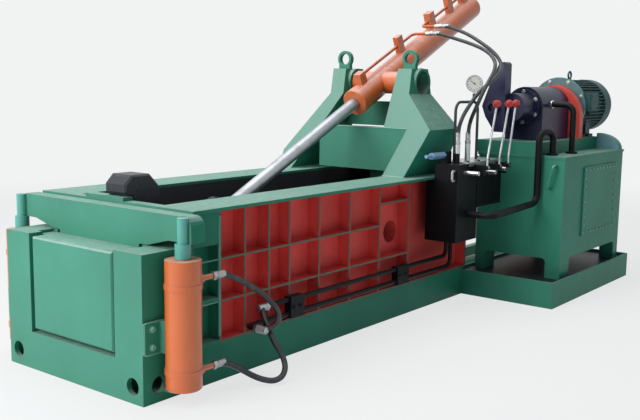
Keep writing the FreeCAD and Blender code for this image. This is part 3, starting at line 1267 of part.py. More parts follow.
def pump_body():
    """Pump: flange, round body, and the tall end head with its ring port."""
    body = set_bar(PUMP_HEAD_X[1], GUARD_X - PUMP_FLANGE_T, PUMP_R)
    flange = set_bar(GUARD_X - PUMP_FLANGE_T, GUARD_X, PUMP_R + 24)
    head = end_prism(list(PUMP_HEAD_OUTLINE), PUMP_HEAD_X)
    port_start = V(PUMP_HEAD_X[0] - PUMP_PORT_REACH, PUMP_PORT_Y, PUMP_PORT_Z)
    port = bar(port_start, V(PUMP_HEAD_X[0], PUMP_PORT_Y, PUMP_PORT_Z), PUMP_PORT_R)
    recess_end = V(PUMP_HEAD_X[0] - PUMP_PORT_REACH / 6, PUMP_PORT_Y, PUMP_PORT_Z)
    recess = bar(port_start.sub(V(1, 0, 0)), recess_end, PUMP_PORT_R - PUMP_PORT_WALL)
    bore = set_bar(PUMP_HEAD_X[1] + PUMP_SHAFT_IN, GUARD_X + 1, PUMP_SHAFT_R + RUN_FIT)
    return carved(fused([body, flange, head, port]), [recess, bore])


# Valve stand ------------------------------------------------------------------------------------
def valve_stand():
    """Cabinet on the side wall that carries the valves: an upright part and a lower one under a shelf."""
    t = STAND_T
    over_rail = BLOCK_Y[1]
    body_x = (VALVE_X[0], BLOCK_X[0])
    upright = block(body_x, (VALVE_Y[0], over_rail), (VALVE_LOW, VALVE_LEFT_TOP))
    lower = block((VALVE_X[0], VALVE_FOOT_END), VALVE_Y, (VALVE_LOW, BLOCK_Z[0]))
    middle = block((VALVE_X[0], BODY_REAR), VALVE_Y, (VALVE_SHELF, BLOCK_Z[0]))
    end = block((BODY_REAR, BLOCK_X[1]), (VALVE_Y[0], over_rail), (VALVE_SHELF, BLOCK_Z[0]))
    back = block((VALVE_X[0], BODY_REAR), (over_rail, VALVE_Y[1]), (VALVE_SHELF, WALL_TOP))
    inner_y = (VALVE_Y[0] + t, over_rail - t)
    hollows = [
        block((body_x[0] + t, body_x[1] - t), inner_y, (VALVE_LOW + t, VALVE_LEFT_TOP - t)),
        block((VALVE_X[0] + t, VALVE_FOOT_END - t), inner_y, (VALVE_LOW + t, VALVE_SHELF)),
        block(
            (VALVE_X[0] + t, VALVE_FOOT_END - t),
            (over_rail - t, VALVE_Y[1] - t),
            (VALVE_LOW + t, VALVE_SHELF),
        ),
        block((VALVE_X[0] + t, BODY_REAR - t), (over_rail + t, VALVE_Y[1] - t), (BLOCK_Z[0], WALL_TOP - t)),
    ]
    cabinet = carved(fused([upright, lower, middle, end, back]), hollows)
    left = FITTING_X[0]
    fitting = bar(V(left, FITTING_Y, VALVE_LEFT_TOP - t), V(left, FITTING_Y, FITTING_TOP), FITTING_R)
    seat_y = (PLUG_Y - PLUG_R, PLUG_Y + PLUG_R)
    seat = block((PLUG_X[1], PLUG_X[1] + PLUG_SEAT_LEN), seat_y, (VALVE_LEFT_TOP - t, PLUG_Z + PLUG_R))
    return fused([cabinet, fitting, seat, spool_cap(*CAP_PLACES[0])])


def spool_cap(x, z):
    """Round cap that stands out of the near face."""
    return bar(V(x, VALVE_Y[0], z), V(x, CAP_END, z), CAP_R)


def spool_housing(x):
    """Housing on the block's near face, with the two ears and the pin of its lever."""
    half = LEVER_HUB_LEN / 2 + CLEVIS_SLOT_GAP
    outer = half + CLEVIS_T
    pieces = [block((x - outer, x + outer), (HOUSING_FACE, BLOCK_Y[0]), HOUSING_Z)]
    ear_z = (LEVER_PIVOT_Z - LEVER_HUB_R, LEVER_PIVOT_Z + LEVER_HUB_R)
    for side in (-1, 1):
        ear_x = sorted((x + side * half, x + side * outer))
        pieces.append(block(ear_x, (SPOOL_Y - LEVER_HUB_R, HOUSING_FACE), ear_z))
    pin_ends = [V(x + side * outer, SPOOL_Y, LEVER_PIVOT_Z) for side in (-1, 1)]
    pieces.append(bar(*pin_ends, LEVER_PIN_R))
    return fused(pieces)


def valve_block():
    """Valve block: a section per lever with its housing, a top plate and a hose nipple."""
    pieces = [block(BLOCK_X, BLOCK_Y, BLOCK_Z)]
    pieces.append(block(TOP_PLATE_X, TOP_PLATE_Y, (BLOCK_Z[1], BLOCK_Z[1] + TOP_PLATE_T)))
    right = FITTING_X[1]
    pieces.append(bar(V(right, FITTING_Y, BLOCK_Z[1]), V(right, FITTING_Y, FITTING_TOP), FITTING_R))
    grooves = []
    sections = len(LEVER_BASE_X) + 1
    pitch = (BLOCK_X[1] - BLOCK_X[0]) / sections
    for step in range(1, sections):
        x = BLOCK_X[0] + step * pitch
        groove_x = (x - SECTION_GROOVE / 2, x + SECTION_GROOVE / 2)
        grooves.append(block(groove_x, (BLOCK_Y[0] - 1, BLOCK_Y[0] + SECTION_GROOVE), BLOCK_Z))
    body = carved(fused(pieces), grooves)
    housings = [spool_housing(x) for x in LEVER_BASE_X]
    caps = [spool_cap(*place) for place in CAP_PLACES[1:]]
    return fused([body] + housings + caps)


def relief_valve():
    """Hexagonal cartridge that lies over the stand's upright part."""
    corners = arc_corners((PLUG_Y, PLUG_Z), PLUG_R, 0, 300, 5)
    neck = PLUG_X[0] + PLUG_STEM_LEN
    hexagon = end_prism(corners, (neck, PLUG_X[1]))
    stem = bar(V(PLUG_X[0], PLUG_Y, PLUG_Z), V(neck, PLUG_Y, PLUG_Z), PLUG_R / 2)
    return fused([hexagon, stem])


def lever(index):
    """Valve lever: hub on its pin, slanting arm and round knob."""
    pivot = V(LEVER_BASE_X[index], SPOOL_Y, LEVER_PIVOT_Z)
    centre = V(LEVER_BALL_X[index], SPOOL_Y, LEVER_BALL_Z)
    half = LEVER_HUB_LEN / 2
    hub = bar(pivot.add(V(-half, 0, 0)), pivot.add(V(half, 0, 0)), LEVER_HUB_R)
    bend = pivot.add(V(0, 0, LEVER_NECK))
    collar = bar(pivot, bend, LEVER_R)
    elbow = Part.makeSphere(LEVER_R, bend)
    arm = bar(bend, centre, LEVER_R)
    knob = Part.makeSphere(BALL_R, centre)
    bore = bar(pivot.add(V(-half - 1, 0, 0)), pivot.add(V(half + 1, 0, 0)), LEVER_PIN_R + RUN_FIT)
    return fused([hub, collar, elbow, arm, knob]).cut(bore)


def pressure_gauge():
    """Gauge with its dial turned to the gate end, on a bent pipe over the valve block."""
    foot_z = BLOCK_Z[1] + TOP_PLATE_T
    left, right = GAUGE_PIPE_X
    corners = [V(left, GAUGE_Y, foot_z), V(left, GAUGE_Y, GAUGE_PIPE_Z)]
    corners += [V(right, GAUGE_Y, GAUGE_PIPE_Z), V(right, GAUGE_Y, foot_z)]
    pipe = tube(corners, GAUGE_STEM_R, GAUGE_PIPE_BEND)
    centre = V(GAUGE_X, GAUGE_Y, GAUGE_Z)
    stem = bar(V(GAUGE_X, GAUGE_Y, GAUGE_PIPE_Z), centre.sub(V(0, 0, GAUGE_R / 2)), GAUGE_STEM_R)
    turn = math.radians(GAUGE_TURN)
    facing = V(-math.cos(turn), -math.sin(turn), 0)
    face = centre.add(facing * (GAUGE_T / 2))
    case = bar(centre.sub(facing * (GAUGE_T / 2)), face, GAUGE_R)
    dial = bar(face.sub(facing * GAUGE_RIM), face.add(facing), GAUGE_R - GAUGE_RIM)
    return fused([pipe, stem, case]).cut(dial)


# Pipes -------------------------------------------------------------------------------------------
def suction_pipe():
    """Thick pipe from the tank's lid plate, over its edge, down and forward to the valve stand."""
    points = [
        V(3102, -975, TANK_TOP), V(3102, -975, 1110), V(2966, -939, 1110),
        V(2966, -939, 650), V(2443, -880, 609), V(2443, VALVE_Y[0], 609),
    ]
    collar = bar(points[0], points[0].add(V(0, 0, PIPE_COLLAR_H)), PIPE_COLLAR_R)
    return fused([tube(points, THICK_PIPE_R, 60), collar])


def return_pipe():
    """Pipe from the guard's near side down into the tank's lid plate."""
    points = [
        V(GUARD_PORT_X, GUARD_PORT_END, GUARD_PORT_Z), V(GUARD_PORT_X, -1005, GUARD_PORT_Z),
        V(GUARD_PORT_X, -1005, TANK_TOP),
    ]
    collar = bar(points[2], points[2].add(V(0, 0, PIPE_COLLAR_H)), PIPE_COLLAR_R)
    return fused([tube(points, RETURN_PIPE_R, 60), collar])


def side_pipes():
    """Two pipes along the lower ribs, through two clamp blocks, to the ends of the gate's hoses."""
    clamps = [block(x, CLAMP_Y, CLAMP_Z) for x in (CLAMP_X, REAR_CLAMP_X)]
    low, high = SIDE_PIPE_Z
    inside = CLAMP_X[0] + CLAMP_SOCKET
    elbow = [
        V(inside, SIDE_PIPE_Y, low), V(HOSE_ELBOW_X, SIDE_PIPE_Y, low),
        V(HOSE_ELBOW_X, SIDE_PIPE_Y - HOSE_ELBOW_REACH, low),
    ]
    pipes = [tube(elbow, SIDE_PIPE_R, SIDE_PIPE_BEND / 2)]
    pipes.append(bar(V(inside, SIDE_PIPE_Y, high), V(HIGH_STUB_X, SIDE_PIPE_Y, high), SIDE_PIPE_R))
    start = CLAMP_X[1] - CLAMP_SOCKET
    for z, rise, top in zip(SIDE_PIPE_Z, SIDE_PIPE_RISE_X, SIDE_PIPE_TOP):
        points = [V(start, SIDE_PIPE_Y, z), V(rise, SIDE_PIPE_Y, z), V(rise, SIDE_PIPE_Y, top)]
        pipes.append(tube(points, SIDE_PIPE_R, SIDE_PIPE_BEND))
    return fused(clamps + pipes)


def jumper_pipe():
    """Bent pipe at the front of the valve stand."""
    bow_x = VALVE_X[0] - JUMPER_REACH
    low, high = JUMPER_Z
    points = [V(VALVE_X[0], JUMPER_Y, high), V(bow_x, JUMPER_Y, high)]
    points += [V(bow_x, JUMPER_Y, low), V(VALVE_X[0], JUMPER_Y, low)]
    return tube(points, JUMPER_R, 2 * JUMPER_R)


# Hoses ---------------------------------------------------------------------------------------------
def hose_points():
    """Corner points of the four free hoses, from the end on a cylinder to the end on the frame."""
    port_x = GATE_CYL_X + GATE_CYL_R + GATE_PORT_LEN + NIPPLE_LEN
    low_port, high_port = GATE_PORT_Z
    low_pipe, high_pipe = SIDE_PIPE_Z
    front_tap, middle_tap = [axis_point(tap) for tap in LID_TAP_S]
    left, right = FITTING_X
    return {
        "gate_hose_upper": [
            V(port_x, -GATE_CYL_Y, high_port), V(372, -GATE_CYL_Y, high_port), V(430, -600, 531),
            V(477, -604, 510), V(523, -608, 486), V(566, -612, 460), V(608, -616, 432),
            V(648, -623, 401), V(682, -636, 366), V(706, -656, 326), V(704, -672, 281),
            V(680, -658, 245), V(HOSE_ELBOW_X, -621, low_pipe),
            V(HOSE_ELBOW_X, SIDE_PIPE_Y - HOSE_ELBOW_REACH, low_pipe),
        ],
        "gate_hose_lower": [
            V(port_x, -GATE_CYL_Y, low_port), V(372, -GATE_CYL_Y, low_port), V(425, -608, 115),
            V(460, -624, 94), V(493, -646, 67), V(520, -677, 44), V(549, -711, 28), V(583, -743, 20),
            V(624, -760, 33), V(655, -754, 67), V(667, -731, 108), V(668, -701, 145), V(667, -668, 178),
            V(678, -637, 208), V(691, -602, 240), V(706, -568, 268), V(725, -540, 293),
            V(HIGH_STUB_X - 44, SIDE_PIPE_Y, high_pipe), V(HIGH_STUB_X, SIDE_PIPE_Y, high_pipe),
        ],
        "lid_hose_rear": [
            middle_tap, middle_tap.add(V(0, -60, 0)), V(2970, -290, 1781), V(2941, -376, 1755),
            V(2909, -454, 1724), V(2878, -531, 1687), V(2858, -609, 1644), V(2841, -681, 1591),
            V(2804, -734, 1529), V(2731, -751, 1477), V(2650, -752, 1436), V(2565, -748, 1403),
            V(2489, -735, 1356), V(2435, -711, 1287), V(2400, -680, 1208), V(left, FITTING_Y, 1125),
            V(left, FITTING_Y, FITTING_TOP),
        ],
        "lid_hose_front": [
            front_tap, front_tap.add(V(0, -64, 0)), V(2858, -290, 1731), V(2826, -379, 1708),
            V(2793, -468, 1686), V(2762, -554, 1662), V(2732, -637, 1633), V(2695, -711, 1596),
            V(2644, -769, 1546), V(2575, -797, 1493), V(2504, -801, 1436), V(2460, -782, 1360),
            V(2464, -744, 1278), V(2505, -688, 1205), V(right, FITTING_Y, 1130),
            V(right, FITTING_Y, FITTING_TOP),
        ],
    }


# Export --------------------------------------------------------------------------------------------
def placed(shape):
    """Move a piece so that the origin is under the middle of the machine's box."""
    near = PLINTH_Y[0]
    far = GATE_CYL_Y + GATE_CYL_R + BAND_R
    moved = shape.copy()
    moved.translate(V(-MAIN_REAR / 2, -(near + far) / 2, 0))
    return moved


def main():
    """Build every piece and write it to its own file."""
    wall = side_wall()
    liner = wall_liner()
    barrel = gate_cylinder()
    rod = gate_rod()
    pieces = {
        "base_frame": base_frame(),
        "bed_liner": bed_liner(),
        "near_wall_liner": mirrored(liner),
        "far_wall_liner": liner,
        "near_side_wall": mirrored(wall),
        "far_side_wall": wall,
        "gate_housing": gate_housing(),
        "top_frame": top_frame(),
        "near_pedestal": mirrored(pedestal(near_outline(), NEAR_BEARING)),
        "far_pedestal": pedestal(far_outline(), FAR_BEARING),
        "trunnion_bushes": trunnion_bushes(),
        "cross_beam": cross_beam(),
        "rear_tie_plate": rear_tie_plate(),
        "rear_cradle": rear_cradle(),
        "gate_slab": gate_slab(),
        "crosshead_beam": crosshead_beam(),
        "near_gate_cylinder": mirrored(barrel),
        "far_gate_cylinder": barrel,
        "near_gate_rod": mirrored(rod),
        "far_gate_rod": rod,
        "lid": lid(),
        "lid_nose": lid_nose(),
        "lid_hinge_shaft": hinge_shaft(),
        "hinge_bushes": hinge_bushes(),
        "clevis_pin": clevis_pin(),
        "lid_cylinder": lid_cylinder(),
        "lid_cylinder_pipes": lid_pipes(),
        "lid_cylinder_gland": lid_gland(),
        "lid_rod": lid_rod(),
        "press_head": press_head(),
        "ram": ram(),
        "main_cylinder": main_cylinder(),
        "plinth": plinth(),
        "oil_tank": oil_tank(),
        "tank_cover": tank_cover(),
        "filter_hood": filter_hood(),
        "motor_base": motor_base(),
        "motor_body": motor_body(),
        "motor_fan_cover": motor_fan_cover(),
        "motor_fan": motor_fan(),
        "drive_shaft": drive_shaft(),
        "drive_coupling": drive_coupling(),
        "pump_body": pump_body(),
        "arch_bracket": arch_bracket(),
        "coupling_guard": coupling_guard(),
        "valve_stand": valve_stand(),
        "valve_block": valve_block(),
        "relief_valve": relief_valve(),
        "front_lever": lever(0),
        "middle_lever": lever(1),
        "rear_lever": lever(2),
        "pressure_gauge": pressure_gauge(),
        "suction_pipe": suction_pipe(),
        "return_pipe": return_pipe(),
        "side_pipes": side_pipes(),
        "jumper_pipe": jumper_pipe(),
    }
    for name, points in hose_points().items():
        radius = GATE_HOSE_R if name.startswith("gate") else LID_HOSE_R
        pieces[name] = tube(points, radius)
        report_hose(name, points, radius)
    os.makedirs("parts", exist_ok=True)
    for name, shape in pieces.items():
        placed(shape).exportStep(f"parts/{name}.step")
    print(len(pieces), "pieces")


main()
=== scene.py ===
"""Looks of a hydraulic scrap baler: enamel, steel, hoses, gauges and small fasteners."""

import logging
import math
from dataclasses import dataclass
from enum import Enum
from typing import Sequence

import bpy
from mathutils import Matrix, Vector

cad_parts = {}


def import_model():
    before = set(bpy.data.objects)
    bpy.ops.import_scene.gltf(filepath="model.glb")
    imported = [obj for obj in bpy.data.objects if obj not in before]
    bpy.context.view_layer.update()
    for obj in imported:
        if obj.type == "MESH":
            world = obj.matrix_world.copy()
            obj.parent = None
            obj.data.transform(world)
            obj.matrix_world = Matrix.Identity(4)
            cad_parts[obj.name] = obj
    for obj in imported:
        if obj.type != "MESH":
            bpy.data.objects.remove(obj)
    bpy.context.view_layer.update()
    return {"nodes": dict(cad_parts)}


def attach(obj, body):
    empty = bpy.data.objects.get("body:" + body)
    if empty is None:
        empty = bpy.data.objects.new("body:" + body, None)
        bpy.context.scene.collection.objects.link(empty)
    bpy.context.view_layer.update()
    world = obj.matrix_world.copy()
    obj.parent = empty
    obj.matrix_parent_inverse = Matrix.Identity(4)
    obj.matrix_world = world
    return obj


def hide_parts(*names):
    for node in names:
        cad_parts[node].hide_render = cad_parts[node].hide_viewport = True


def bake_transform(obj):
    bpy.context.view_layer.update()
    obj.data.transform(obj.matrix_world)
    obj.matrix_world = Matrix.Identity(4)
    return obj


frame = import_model()

LOG = logging.getLogger("baler")
Colour = tuple[float, float, float]
Point = tuple[float, float, float]
Pair = tuple[float, float]

# The machine's own zero in the row frame: the gate posts' front, the middle of the chamber.
MACHINE_X = -2.425
MACHINE_Y = 0.237


def placed(x: float, y: float, z: float) -> Vector:
    """A point given in the machine's own frame, in metres; y is negative on the valve side."""
    return Vector((x + MACHINE_X, y + MACHINE_Y, z))


def linked(name: str, data: bpy.types.ID) -> bpy.types.Object:
    """A new object in the scene.

    Args:
        name: Its name.
        data: The mesh, curve, lamp or camera that it shows.

    Returns:
        The object.
    """
    obj = bpy.data.objects.new(name, data)
    bpy.context.scene.collection.objects.link(obj)
    return obj


class Axis(Enum):
    """Axes of the row frame, by their place in a vector."""

    X = 0
    Y = 1
    Z = 2


# Shader graphs ----------
BEVEL_SAMPLES = 4
EDGE_GAIN = 6.0             # makes the mask of an edge reach about 1
WAVE_STRENGTH = 0.35
WAVE_DEPTH = 0.004          # slow waves of the plate, in metres
PEEL_DEPTH = 0.0006         # orange peel of the enamel, in metres


class Value:
    """A number socket that builds Math nodes when it is used in an expression."""

    def __init__(self, graph: "Graph", socket: bpy.types.NodeSocket) -> None:
        """Wrap an output socket of a graph."""
        self.graph = graph
        self.socket = socket

    def _math(self, operation: str, *operands: "Value | float") -> "Value":
        """Add one Math node, with its operands in the node's order."""
        inputs = dict(enumerate(operands))
        return self.graph.node("ShaderNodeMath", {"operation": operation}, inputs)

    def __add__(self, other: "Value | float") -> "Value":
        """This value plus another."""
        return self._math("ADD", self, other)

    __radd__ = __add__

    def __sub__(self, other: "Value | float") -> "Value":
        """This value less another."""
        return self._math("SUBTRACT", self, other)

    def __rsub__(self, other: "Value | float") -> "Value":
        """Another value less this one."""
        return self._math("SUBTRACT", other, self)

    def __mul__(self, other: "Value | float") -> "Value":
        """This value times another."""
        return self._math("MULTIPLY", self, other)

    def or_more(self, other: "Value | float") -> "Value":
        """The larger of this value and another."""
        return self._math("MAXIMUM", self, other)

    def size(self) -> "Value":
        """This value without its sign."""
        return self._math("ABSOLUTE", self)

    def clipped(self) -> "Value":
        """This value held between 0 and 1."""
        return self.graph.node("ShaderNodeClamp", {}, {"Value": self})

    def above(self, edge: float, blur: float = 0.001) -> "Value":
        """Mask that is 1 where this value is over an edge.

        Args:
            edge: Where the mask changes.
            blur: Width of the change.

        Returns:
            A mask from 0 to 1.
        """
        settings = {"interpolation_type": "SMOOTHSTEP"}
        inputs = {"Value": self, "From Min": edge - blur / 2, "From Max": edge + blur / 2}
        return self.graph.node("ShaderNodeMapRange", settings, inputs)

    def below(self, edge: float, blur: float = 0.001) -> "Value":
        """Mask that is 1 where this value is under an edge."""
        return 1.0 - self.above(edge, blur)


class Graph:
    """Node graph of a material or of the world."""

    def __init__(self, owner: bpy.types.Material | bpy.types.World) -> None:
        """Open the node tree.

        Args:
            owner: A new material or world.
        """
        owner.use_nodes = True
        self.owner = owner
        self.tree = owner.node_tree

    @classmethod
    def painted(cls, name: str) -> "Graph":
        """Graph of a new material."""
        return cls(bpy.data.materials.new(name))

    def node(
        self,
        kind: str,
        settings: dict[str, object],
        inputs: dict[str | int, object],
        output: str | int = 0,
    ) -> Value:
        """Add a node, set it up, and link or fill its inputs.

        Args:
            kind: The node's type.
            settings: Its properties.
            inputs: Values, links or numbers by socket name or place.
            output: Which output is wanted.

        Returns:
            The chosen output.
        """
        made = self.tree.nodes.new(kind)
        for key, setting in settings.items():
            setattr(made, key, setting)
        for key, given in inputs.items():
            if isinstance(given, Value):
                self.tree.links.new(given.socket, made.inputs[key])
            else:
                made.inputs[key].default_value = given
        return Value(self, made.outputs[output])

    def place(self) -> Value:
        """Coordinates in the piece's own frame, in metres."""
        return self.node("ShaderNodeTexCoord", {}, {}, "Object")

    def along(self, axis: Axis) -> Value:
        """One coordinate of the place."""
        return self.node("ShaderNodeSeparateXYZ", {}, {0: self.place()}, axis.value)

    def facing(self, axis: Axis) -> Value:
        """One part of the true surface normal."""
        normal = self.node("ShaderNodeNewGeometry", {}, {}, "True Normal")
        return self.node("ShaderNodeSeparateXYZ", {}, {0: normal}, axis.value)

    def stretched(self, scale: Point) -> Value:
        """The place scaled by a factor along each axis."""
        return self.node("ShaderNodeMapping", {}, {"Vector": self.place(), "Scale": scale})

    def noise(
        self, scale: float, detail: float = 3.0, rough: float = 0.55, where: Value | None = None,
    ) -> Value:
        """Soft noise from 0 to 1, by blobs per metre, octaves and their weight."""
        inputs = {"Vector": where or self.place(), "Scale": scale}
        return self.node("ShaderNodeTexNoise", {}, inputs | {"Detail": detail, "Roughness": rough})

    def ramp(self, value: Value, stops: tuple[Pair, Pair]) -> Value:
        """A value sent through two grey stops.

        Args:
            value: The value.
            stops: Place and grey level of each stop.

        Returns:
            The grey level.
        """
        grey = self.node("ShaderNodeValToRGB", {}, {"Fac": value})
        for element, (place, level) in zip(grey.socket.node.color_ramp.elements, stops):
            element.position = place
            element.color = (level, level, level, 1.0)
        return grey

    def blended(self, mask: Value, first: Value | Colour, second: Value | Colour) -> Value:
        """Colour that changes from one to another by a mask.

        Args:
            mask: 0 for the first colour, 1 for the second.
            first: Colour or link.
            second: Colour or link.

        Returns:
            The mixed colour.
        """
        pair = [given if isinstance(given, Value) else (*given, 1.0) for given in (first, second)]
        inputs = {0: mask, 6: pair[0], 7: pair[1]}      # the places of a colour mix
        return self.node("ShaderNodeMix", {"data_type": "RGBA"}, inputs, 2)

    def eased(self, radius: float) -> Value:
        """Normal with the edges rounded by a radius in metres."""
        return self.node("ShaderNodeBevel", {"samples": BEVEL_SAMPLES}, {"Radius": radius})

    def chips(
        self, edge: float, wear: float, grain: Value, start: float = 1.02, blur: float = 0.08,
    ) -> Value:
        """Mask of worn edges, where a rounded normal leaves the true one.

        Args:
            edge: Reach of the wear in metres.
            wear: How strong it is.
            grain: Noise from 0 to 1 that breaks it up.
            start: Sum of wear and grain at which a chip begins.
            blur: Width of a chip's soft rim.

        Returns:
            A mask from 0 to 1.
        """
        inputs = {0: self.eased(edge), 1: self.node("ShaderNodeNewGeometry", {}, {}, "True Normal")}
        match = self.node("ShaderNodeVectorMath", {"operation": "DOT_PRODUCT"}, inputs, "Value")
        return ((1.0 - match) * EDGE_GAIN * wear + grain - start).above(0.02, blur)

    def feed(self, socket: str, given: "Value | float | Colour") -> None:
        """Link or set an input of the material's shader.

        Args:
            socket: The input's name.
            given: A link, a number or a colour.
        """
        put = self.tree.nodes["Principled BSDF"].inputs[socket]
        if isinstance(given, Value):
            self.tree.links.new(given.socket, put)
        else:
            put.default_value = (*given, 1.0) if isinstance(given, tuple) else given

    def bump(
        self, height: Value, strength: float, depth: float, base: Value | None = None,
    ) -> Value:
        """Normal that follows a height from 0 to 1, by a share and a depth in metres."""
        inputs = {"Height": height, "Strength": strength, "Distance": depth}
        return self.node("ShaderNodeBump", {}, inputs | ({"Normal": base} if base else {}))

    def spray(self, edge: float, waves: float, peel: float, strength: float) -> None:
        """Feed the normal of sprayed plate: eased edges, slow waves and orange peel."""
        plate = self.bump(self.noise(waves, 2.0), WAVE_STRENGTH, WAVE_DEPTH, self.eased(edge))
        self.feed("Normal", self.bump(self.noise(peel, 2.0), strength, PEEL_DEPTH, plate))

    def mixed(self, mask: Value, first: str, second: Value, output: str) -> None:
        """Show one of two shaders by a mask.

        Args:
            mask: 0 for the first shader, 1 for the second.
            first: Name of a node that the tree already has.
            second: The other shader.
            output: Name of the tree's output node.
        """
        own = Value(self, self.tree.nodes[first].outputs[0])
        mix = self.node("ShaderNodeMixShader", {}, {0: mask, 1: own, 2: second})
        self.tree.links.new(mix.socket, self.tree.nodes[output].inputs["Surface"])


# Finishes ----------
FAR_AWAY = 99.0             # limit of a zone that is open on a side
OPEN = FAR_AWAY / 2         # beyond this a zone counts as open


@dataclass(frozen=True)
class Zone:
    """Part of a piece, between two corners in the machine's frame, with a finish of its own."""

    colour: Colour
    low: Point = (-FAR_AWAY, -FAR_AWAY, -FAR_AWAY)
    high: Point = (FAR_AWAY, FAR_AWAY, FAR_AWAY)
    rough: float = 0.35
    metal: float = 0.0

    def mask(self, graph: Graph) -> Value:
        """Mask that is 1 inside the zone.

        Args:
            graph: The material that the zone is in.

        Returns:
            The mask.
        """
        inside: Value | None = None
        for axis, low, high in zip(Axis, placed(*self.low), placed(*self.high)):
            here = graph.along(axis)
            sides = [here.above(low)] if low > -OPEN else []
            sides += [here.below(high)] if high < OPEN else []
            for side in sides:
                inside = side if inside is None else inside * side
        return inside


@dataclass
class Coat:
    """The varying parts of a surface, gathered before they go to the shader."""

    graph: Graph
    tone: Value
    rough: Value
    metal: "Value | float" = 0.0

    def zoned(self, zones: Sequence[Zone]) -> "Coat":
        """Lay the zones over the coat.

        Args:
            zones: The zones, each over the ones before it.

        Returns:
            The coat itself.
        """
        grime = self.graph.ramp(self.graph.noise(24.0, 4.0, 0.6), ((0.35, 0.8), (0.7, 1.0)))
        for zone in zones:
            mask = zone.mask(self.graph)
            dull = tuple(0.62 * part for part in zone.colour)
            stained = self.graph.blended(grime, dull, zone.colour)
            self.tone = self.graph.blended(mask, self.tone, stained)
            self.rough = self.rough + mask * (zone.rough - self.rough)
            self.metal = self.metal + mask * (zone.metal - self.metal)
        return self

    def spray(self) -> None:
        """Feed the coat to the shader."""
        self.graph.feed("Base Color", self.tone)
        self.graph.feed("Roughness", self.rough)
        self.graph.feed("Metallic", self.metal)


@dataclass(frozen=True)
class Enamel:
    """Sprayed machine enamel over steel plate, with chipped edges, dust, faint runs and painted
    sheen on faces that look up or towards the gate end.
    """

    name: str
    colour: Colour
    shade: Colour
    primer: Colour = (0.16, 0.15, 0.14)
    gloss: float = 0.34
    wear: float = 0.5
    edge: float = 0.004
    coat: float = 0.0
    shine: float = 0.12
    dust_and_sheen: float = 0.72     # dust and painted sky sheen on faces that look up
    painted_front_sheen: float = 0.12     # painted sheen on faces towards the gate end
    painted_sky_sheen: float = 0.32     # painted sky reflection on faces that slope up to the gate
    zones: tuple[Zone, ...] = ()

    def build(self) -> bpy.types.Material:
        """The finished material."""
        graph = Graph.painted(self.name)
        cloud = graph.noise(1.6, 4.0)
        fine = graph.noise(26.0, 5.0, 0.6)
        runs = graph.noise(2.0, 3.0, 0.55, graph.stretched((4.0, 4.0, 0.7)))
        mottle = graph.ramp(cloud * 0.8 + runs * 0.2, ((0.34, 0.0), (0.66, 1.0)))
        tone = graph.blended(mottle, self.shade, self.colour)
        up, back = graph.facing(Axis.Z), graph.facing(Axis.X)
        chips = graph.chips(self.edge, self.wear, fine)
        settled = graph.ramp(fine, ((0.30, self.dust_and_sheen * 0.4), (0.75, self.dust_and_sheen)))
        # Painted light: faces that look up take a pale tone that is part dust, part painted sky
        # sheen; faces towards the gate end and faces that slope up to it take a painted sheen.
        dust = up.above(0.6, 0.5) * settled
        film = back.below(-0.55, 0.5) * graph.along(Axis.X).below(0.4, 1.6) * self.painted_front_sheen
        sky_sheen_mask = (up - back).above(1.15, 0.3) * self.painted_sky_sheen
        for mask, pale in ((dust, 0.36), (film, 0.34), (sky_sheen_mask, 0.40)):
            tone = graph.blended(mask, tone, tuple(0.5 * part + pale for part in self.colour))
        tone = graph.blended(chips, tone, self.primer)
        rough = self.gloss + fine * 0.14 + chips * 0.3 + dust * 0.3
        Coat(graph, tone, rough).zoned(self.zones).spray()
        graph.feed("Specular IOR Level", self.shine)
        graph.feed("Coat Weight", self.coat)
        graph.feed("Coat Roughness", 0.2)
        graph.spray(self.edge * 0.6, 3.2, 190.0, 0.18)
        return graph.owner


@dataclass(frozen=True)
class RibEnamel:
    """Side wall enamel: red cells, with the ribs' outer edges brushed over in a muted green."""

    name: str
    red: Colour
    dark: Colour
    rim: Colour
    zones: tuple[Zone, ...] = ()
    primer: Colour = (0.15, 0.12, 0.11)
    rim_at: float = 0.5002      # half width over the ribs' brushed edges
    brush: float = 0.004        # how unevenly they are brushed

    def build(self) -> bpy.types.Material:
        """The finished material."""
        graph = Graph.painted(self.name)
        cloud = graph.noise(3.5, 4.0)
        fine = graph.noise(30.0, 5.0, 0.6)
        red = graph.blended(graph.ramp(cloud, ((0.34, 0.0), (0.64, 1.0))), self.dark, self.red)
        outer = (graph.along(Axis.Y) - MACHINE_Y).size()
        rim = (outer + graph.noise(14.0, 3.0) * self.brush).above(self.rim_at, 0.0015)
        chips = graph.chips(0.004, 0.45, fine)
        tone = graph.blended(chips, graph.blended(rim, red, self.rim), self.primer)
        Coat(graph, tone, 0.38 + fine * 0.16 + chips * 0.3).zoned(self.zones).spray()
        graph.feed("Specular IOR Level", 0.25)
        graph.spray(0.0025, 4.0, 180.0, 0.2)
        return graph.owner


@dataclass(frozen=True)
class WearSteel:
    """Dark rolled wear plate, rubbed bright in scratches along its travel."""

    name: str
    colour: Colour
    bright: Colour
    along: Axis = Axis.X
    rough: float = 0.62

    def build(self) -> bpy.types.Material:
        """The finished material."""
        graph = Graph.painted(self.name)
        pull = [34.0, 34.0, 34.0]
        pull[self.along.value] = 1.6
        scratch = graph.noise(2.2, 6.0, 0.7, graph.stretched(tuple(pull)))
        scale = graph.noise(9.0, 5.0, 0.62)
        rubbed = graph.ramp(scratch, ((0.56, 0.0), (0.72, 1.0)))
        rubbed = rubbed * graph.ramp(scale, ((0.4, 0.2), (0.7, 1.0)))
        bare = (rubbed * 0.6 + graph.chips(0.005, 0.6, scale, 0.95, 0.1) * 0.8).clipped()
        graph.feed("Base Color", graph.blended(bare, self.colour, self.bright))
        graph.feed("Metallic", 0.25 + bare * 0.6)
        graph.feed("Roughness", self.rough - bare * 0.25 + scale * 0.1)
        graph.feed("Normal", graph.bump(scale, 0.35, 0.0015, graph.bump(scratch, 0.3, 0.0008)))
        return graph.owner


